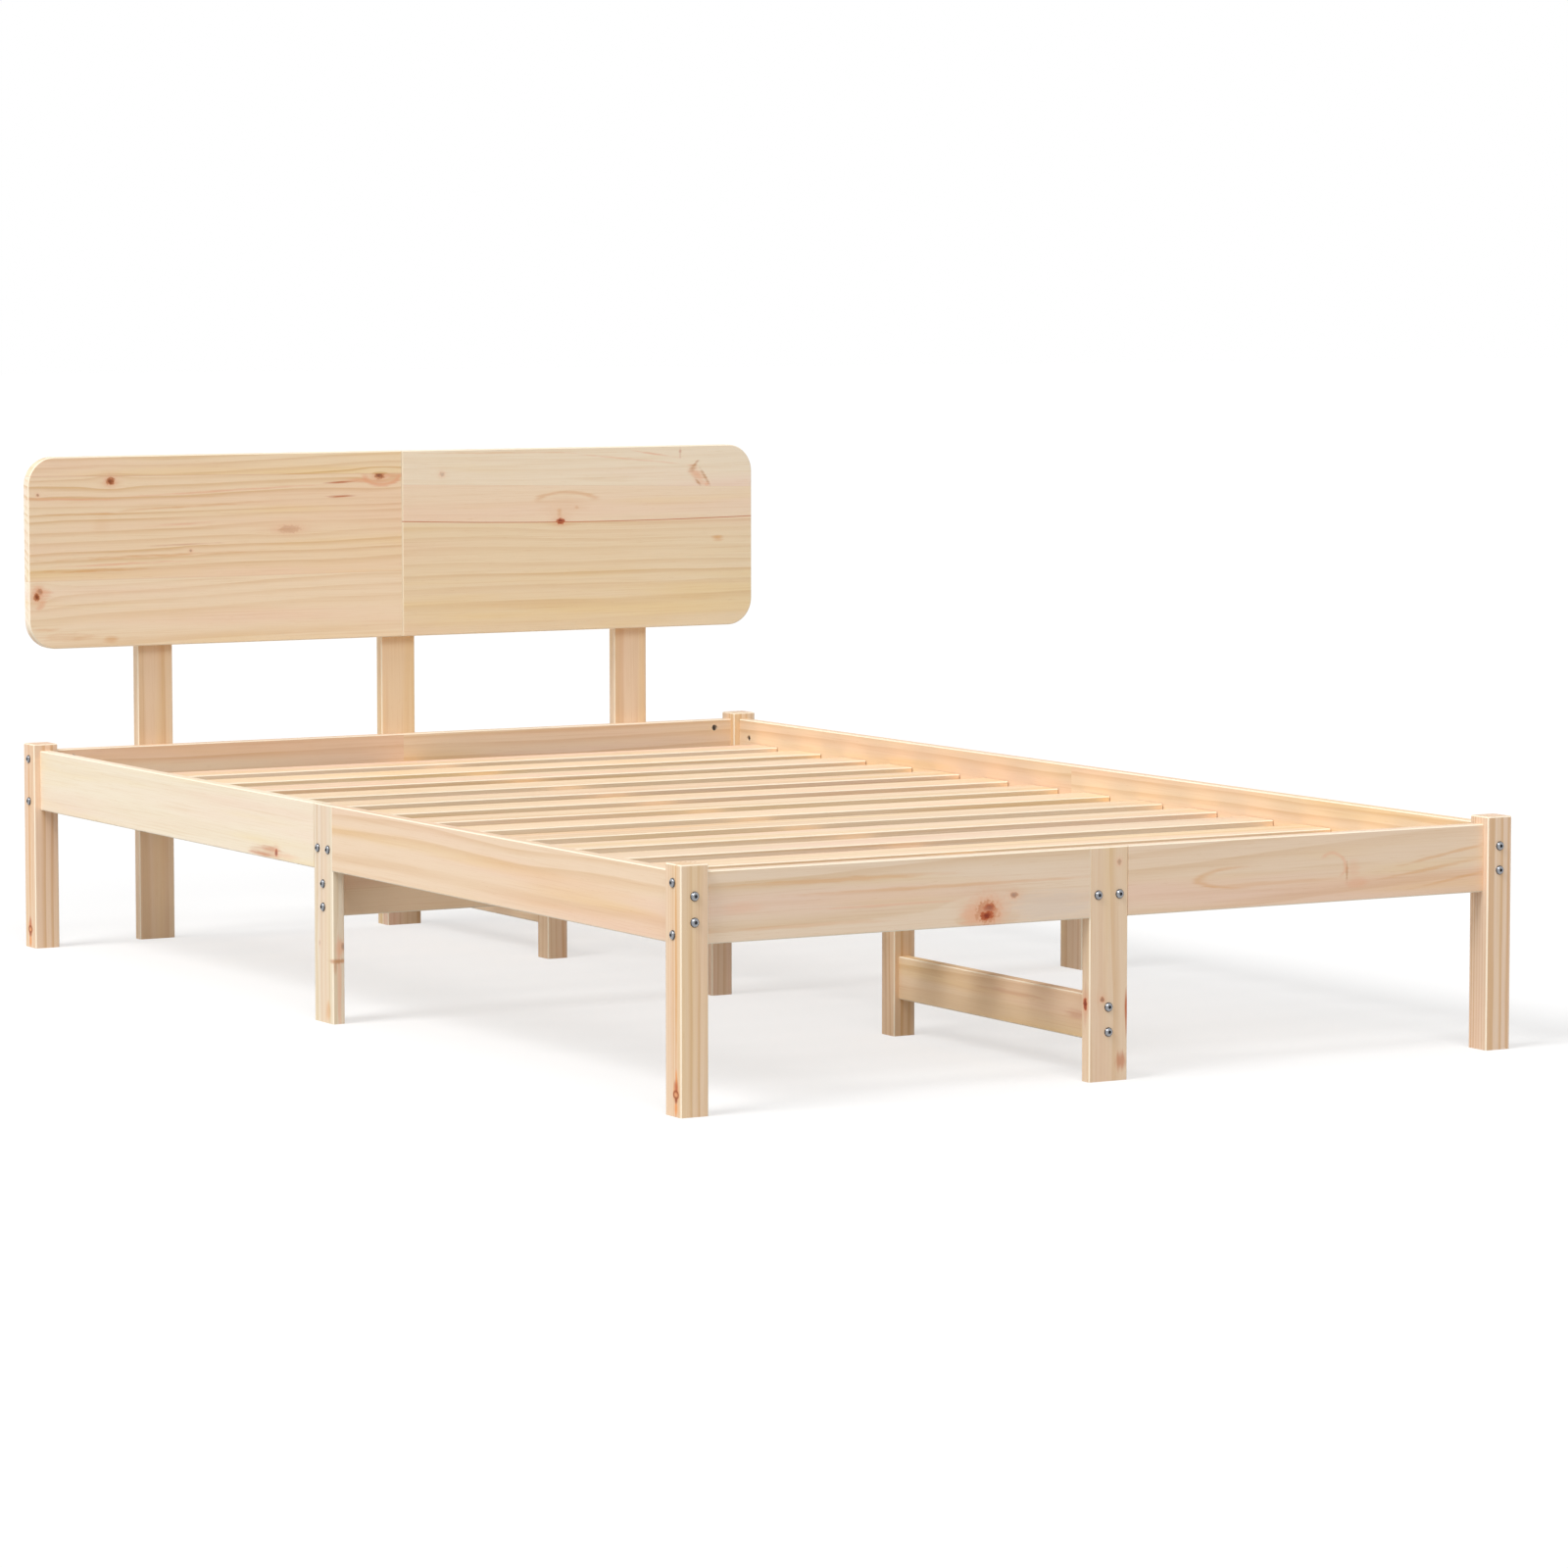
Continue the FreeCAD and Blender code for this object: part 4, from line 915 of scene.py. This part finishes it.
def seat_of(points, head_high):
    """A fastener's axis, the way its head faces along it, its seat, and its length below the seat."""
    lows = Vector([min(point[axis] for point in points) for axis in range(3)])
    highs = Vector([max(point[axis] for point in points) for axis in range(3)])
    spans = highs - lows
    axis = max(range(3), key=lambda number: spans[number])
    middle = (lows + highs) / 2
    if not head_high:
        return axis, 1, middle, spans[axis]
    line = Vector([number == axis for number in range(3)])
    radii = [(point - middle).cross(line).length for point in points]
    outermost = max(radii) * HEAD_CORNER_SHARE
    outer = [point[axis] for point, radius in zip(points, radii) if radius > outermost]
    way = 1 if sum(outer) / len(outer) > middle[axis] else -1
    seat = middle.copy()
    seat[axis] = (highs[axis] if way > 0 else lows[axis]) - way * head_high * MM
    return axis, way, seat, spans[axis] - head_high * MM


def add_fasteners(node, make, head_high, metal, seed):
    """Puts a finely made fastener in place of each plain one in a node."""
    chance = random.Random(seed)
    points, faces, painted_light = [], [], []
    master = None
    for island in islands(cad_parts[node].data):
        axis, way, seat, length = seat_of(island, head_high)
        if master is None:
            master = make(length / MM)
            values = [item.value for item in master.attributes["painted_light"].data]
        outward = Vector([way * (number == axis) for number in range(3)])
        facing = outward.to_track_quat("Z", "Y").to_matrix().to_4x4()
        turn = Matrix.Rotation(chance.uniform(0, math.tau), 4, "Z")
        place = Matrix.Translation(seat) @ (facing @ turn) @ Matrix.Scale(MM, 4)
        start = len(points)
        points += [place @ vertex.co for vertex in master.vertices]
        faces += [[start + index for index in face.vertices] for face in master.polygons]
        painted_light += values
    mesh = painted_light_mesh(f"fine_{node}", points, faces, painted_light)
    mesh.materials.append(metal)
    mesh.shade_smooth()
    mesh.set_sharp_from_angle(angle=math.radians(SHARP_ANGLE))
    piece = bpy.data.objects.new(f"fine_{node}", mesh)
    bpy.context.collection.objects.link(piece)
    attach(piece, "root")
    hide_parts(node)


def zinc(name, has_painted_shade):
    """Bright zinc plate, with painted shade in the recesses and at the head rims of a piece that keeps
    painted light for its points.
    """
    net = Net(bpy.data.materials.new(name))
    cloud = net.noise(net.add("ShaderNodeTexCoord", {}, "Object"), *METAL_CLOUDS)
    colour = net.mix(net.ease(cloud, *METAL_CLOUD_REACH), ZINC, ZINC_CLOUD)
    if has_painted_shade:
        painted_light = net.add("ShaderNodeAttribute", {}, "Fac", attribute_name="painted_light")
        # Painted shade: the recess colour where the painted light is low, in sockets and round head rims
        colour = net.mix(net.ease(painted_light, *RECESS_SHADE_REACH), RECESS_SHADE, colour)
    return net.surface(colour, net.ease(cloud, *METAL_CLOUD_REACH, *ZINC_ROUGHNESS), metallic=1.0)


def dress_nodes():
    """Gives every node of the frame its material."""
    metal = zinc("zinc", False)
    for seed, (name, thing) in enumerate(sorted(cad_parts.items())):
        if name.endswith(("bolts", "nuts", "screws")):
            material = metal
        else:
            material = pine(name, seed)
        for slot in thing.material_slots:
            slot.material = material


def add_all_fasteners():
    """Puts finely made fasteners in place of all plain ones but the hexagon nuts."""
    metal = zinc("zinc_painted_shade", True)
    makers = {
        "corner_bolts": (bolt_mesh, BOLT_HEAD),
        "middle_leg_bolts": (bolt_mesh, BOLT_HEAD),
        "head_bolts": (bolt_mesh, BOLT_HEAD),
        "ledger_bolts": (bolt_mesh, BOLT_HEAD),
        "headboard_screws": (screw_mesh, SCREW_HEAD),
        "ledger_screws": (screw_mesh, SCREW_HEAD),
        "barrel_nuts": (nut_mesh, 0),
    }
    for seed, (node, (make, head_high)) in enumerate(makers.items()):
        add_fasteners(node, make, head_high, metal, seed)


def add_floor():
    """A wide plain floor. The camera and the metal see it white, with the object's soft shadow."""
    net = Net(bpy.data.materials.new("floor"))
    cloud = net.noise(net.add("ShaderNodeTexCoord", {}, "Object"), *FLOOR_CLOUDS)
    seen_colour = net.times(net.ease(cloud, *FLOOR_CLOUD_REACH), FLOOR_SHADE, FLOOR_CLOUD_SHARE)
    seen = net.add("ShaderNodeBsdfDiffuse", {"Color": seen_colour})
    glow = net.add("ShaderNodeEmission", {"Color": WHITE, "Strength": FLOOR_GLOW})
    both = net.add("ShaderNodeAddShader", {0: seen, 1: glow})
    bounce = net.add("ShaderNodeBsdfDiffuse", {"Color": FLOOR_BOUNCE})
    net.end(net.add("ShaderNodeMixShader", {0: net.meets_eye(), 1: bounce, 2: both}))
    bpy.ops.mesh.primitive_plane_add(size=FLOOR_SIDE, location=(0, 0, -FLOOR_GAP))
    floor = bpy.context.object
    floor.name = "floor"
    floor.data.materials.append(net.owner)


def add_suns():
    """The two soft suns."""
    for name, (from_where, power, spread) in SUNS.items():
        lamp = bpy.data.lights.new(name, "SUN")
        lamp.energy = power
        lamp.angle = math.radians(spread)
        sun = bpy.data.objects.new(name, lamp)
        sun.rotation_euler = Vector(from_where).to_track_quat("Z", "Y").to_euler()
        bpy.context.collection.objects.link(sun)


def add_sky():
    """An even sky, which the camera and the metal see as white."""
    net = Net(bpy.data.worlds.new("sky"))
    power = net.add("ShaderNodeMapRange", {"Value": net.meets_eye(), "To Min": SKY_POWER})
    net.end(net.add("ShaderNodeBackground", {"Color": WHITE, "Strength": power}), "ShaderNodeOutputWorld")
    bpy.context.scene.world = net.owner


def add_camera():
    """The camera of the photograph's view."""
    lens = bpy.data.cameras.new("camera")
    lens.sensor_width = SENSOR
    lens.lens = FOCAL_PIXELS / PICTURE_WIDTH * SENSOR
    camera = bpy.data.objects.new("camera", lens)
    camera.location = CAMERA_PLACE
    camera.rotation_euler = (math.pi / 2 - CAMERA_TILT, 0, -CAMERA_TURN)
    bpy.context.collection.objects.link(camera)
    bpy.context.scene.camera = camera


dress_nodes()
add_all_fasteners()
add_floor()
add_suns()
add_sky()
add_camera()
bpy.context.scene.view_settings.view_transform = "Standard"
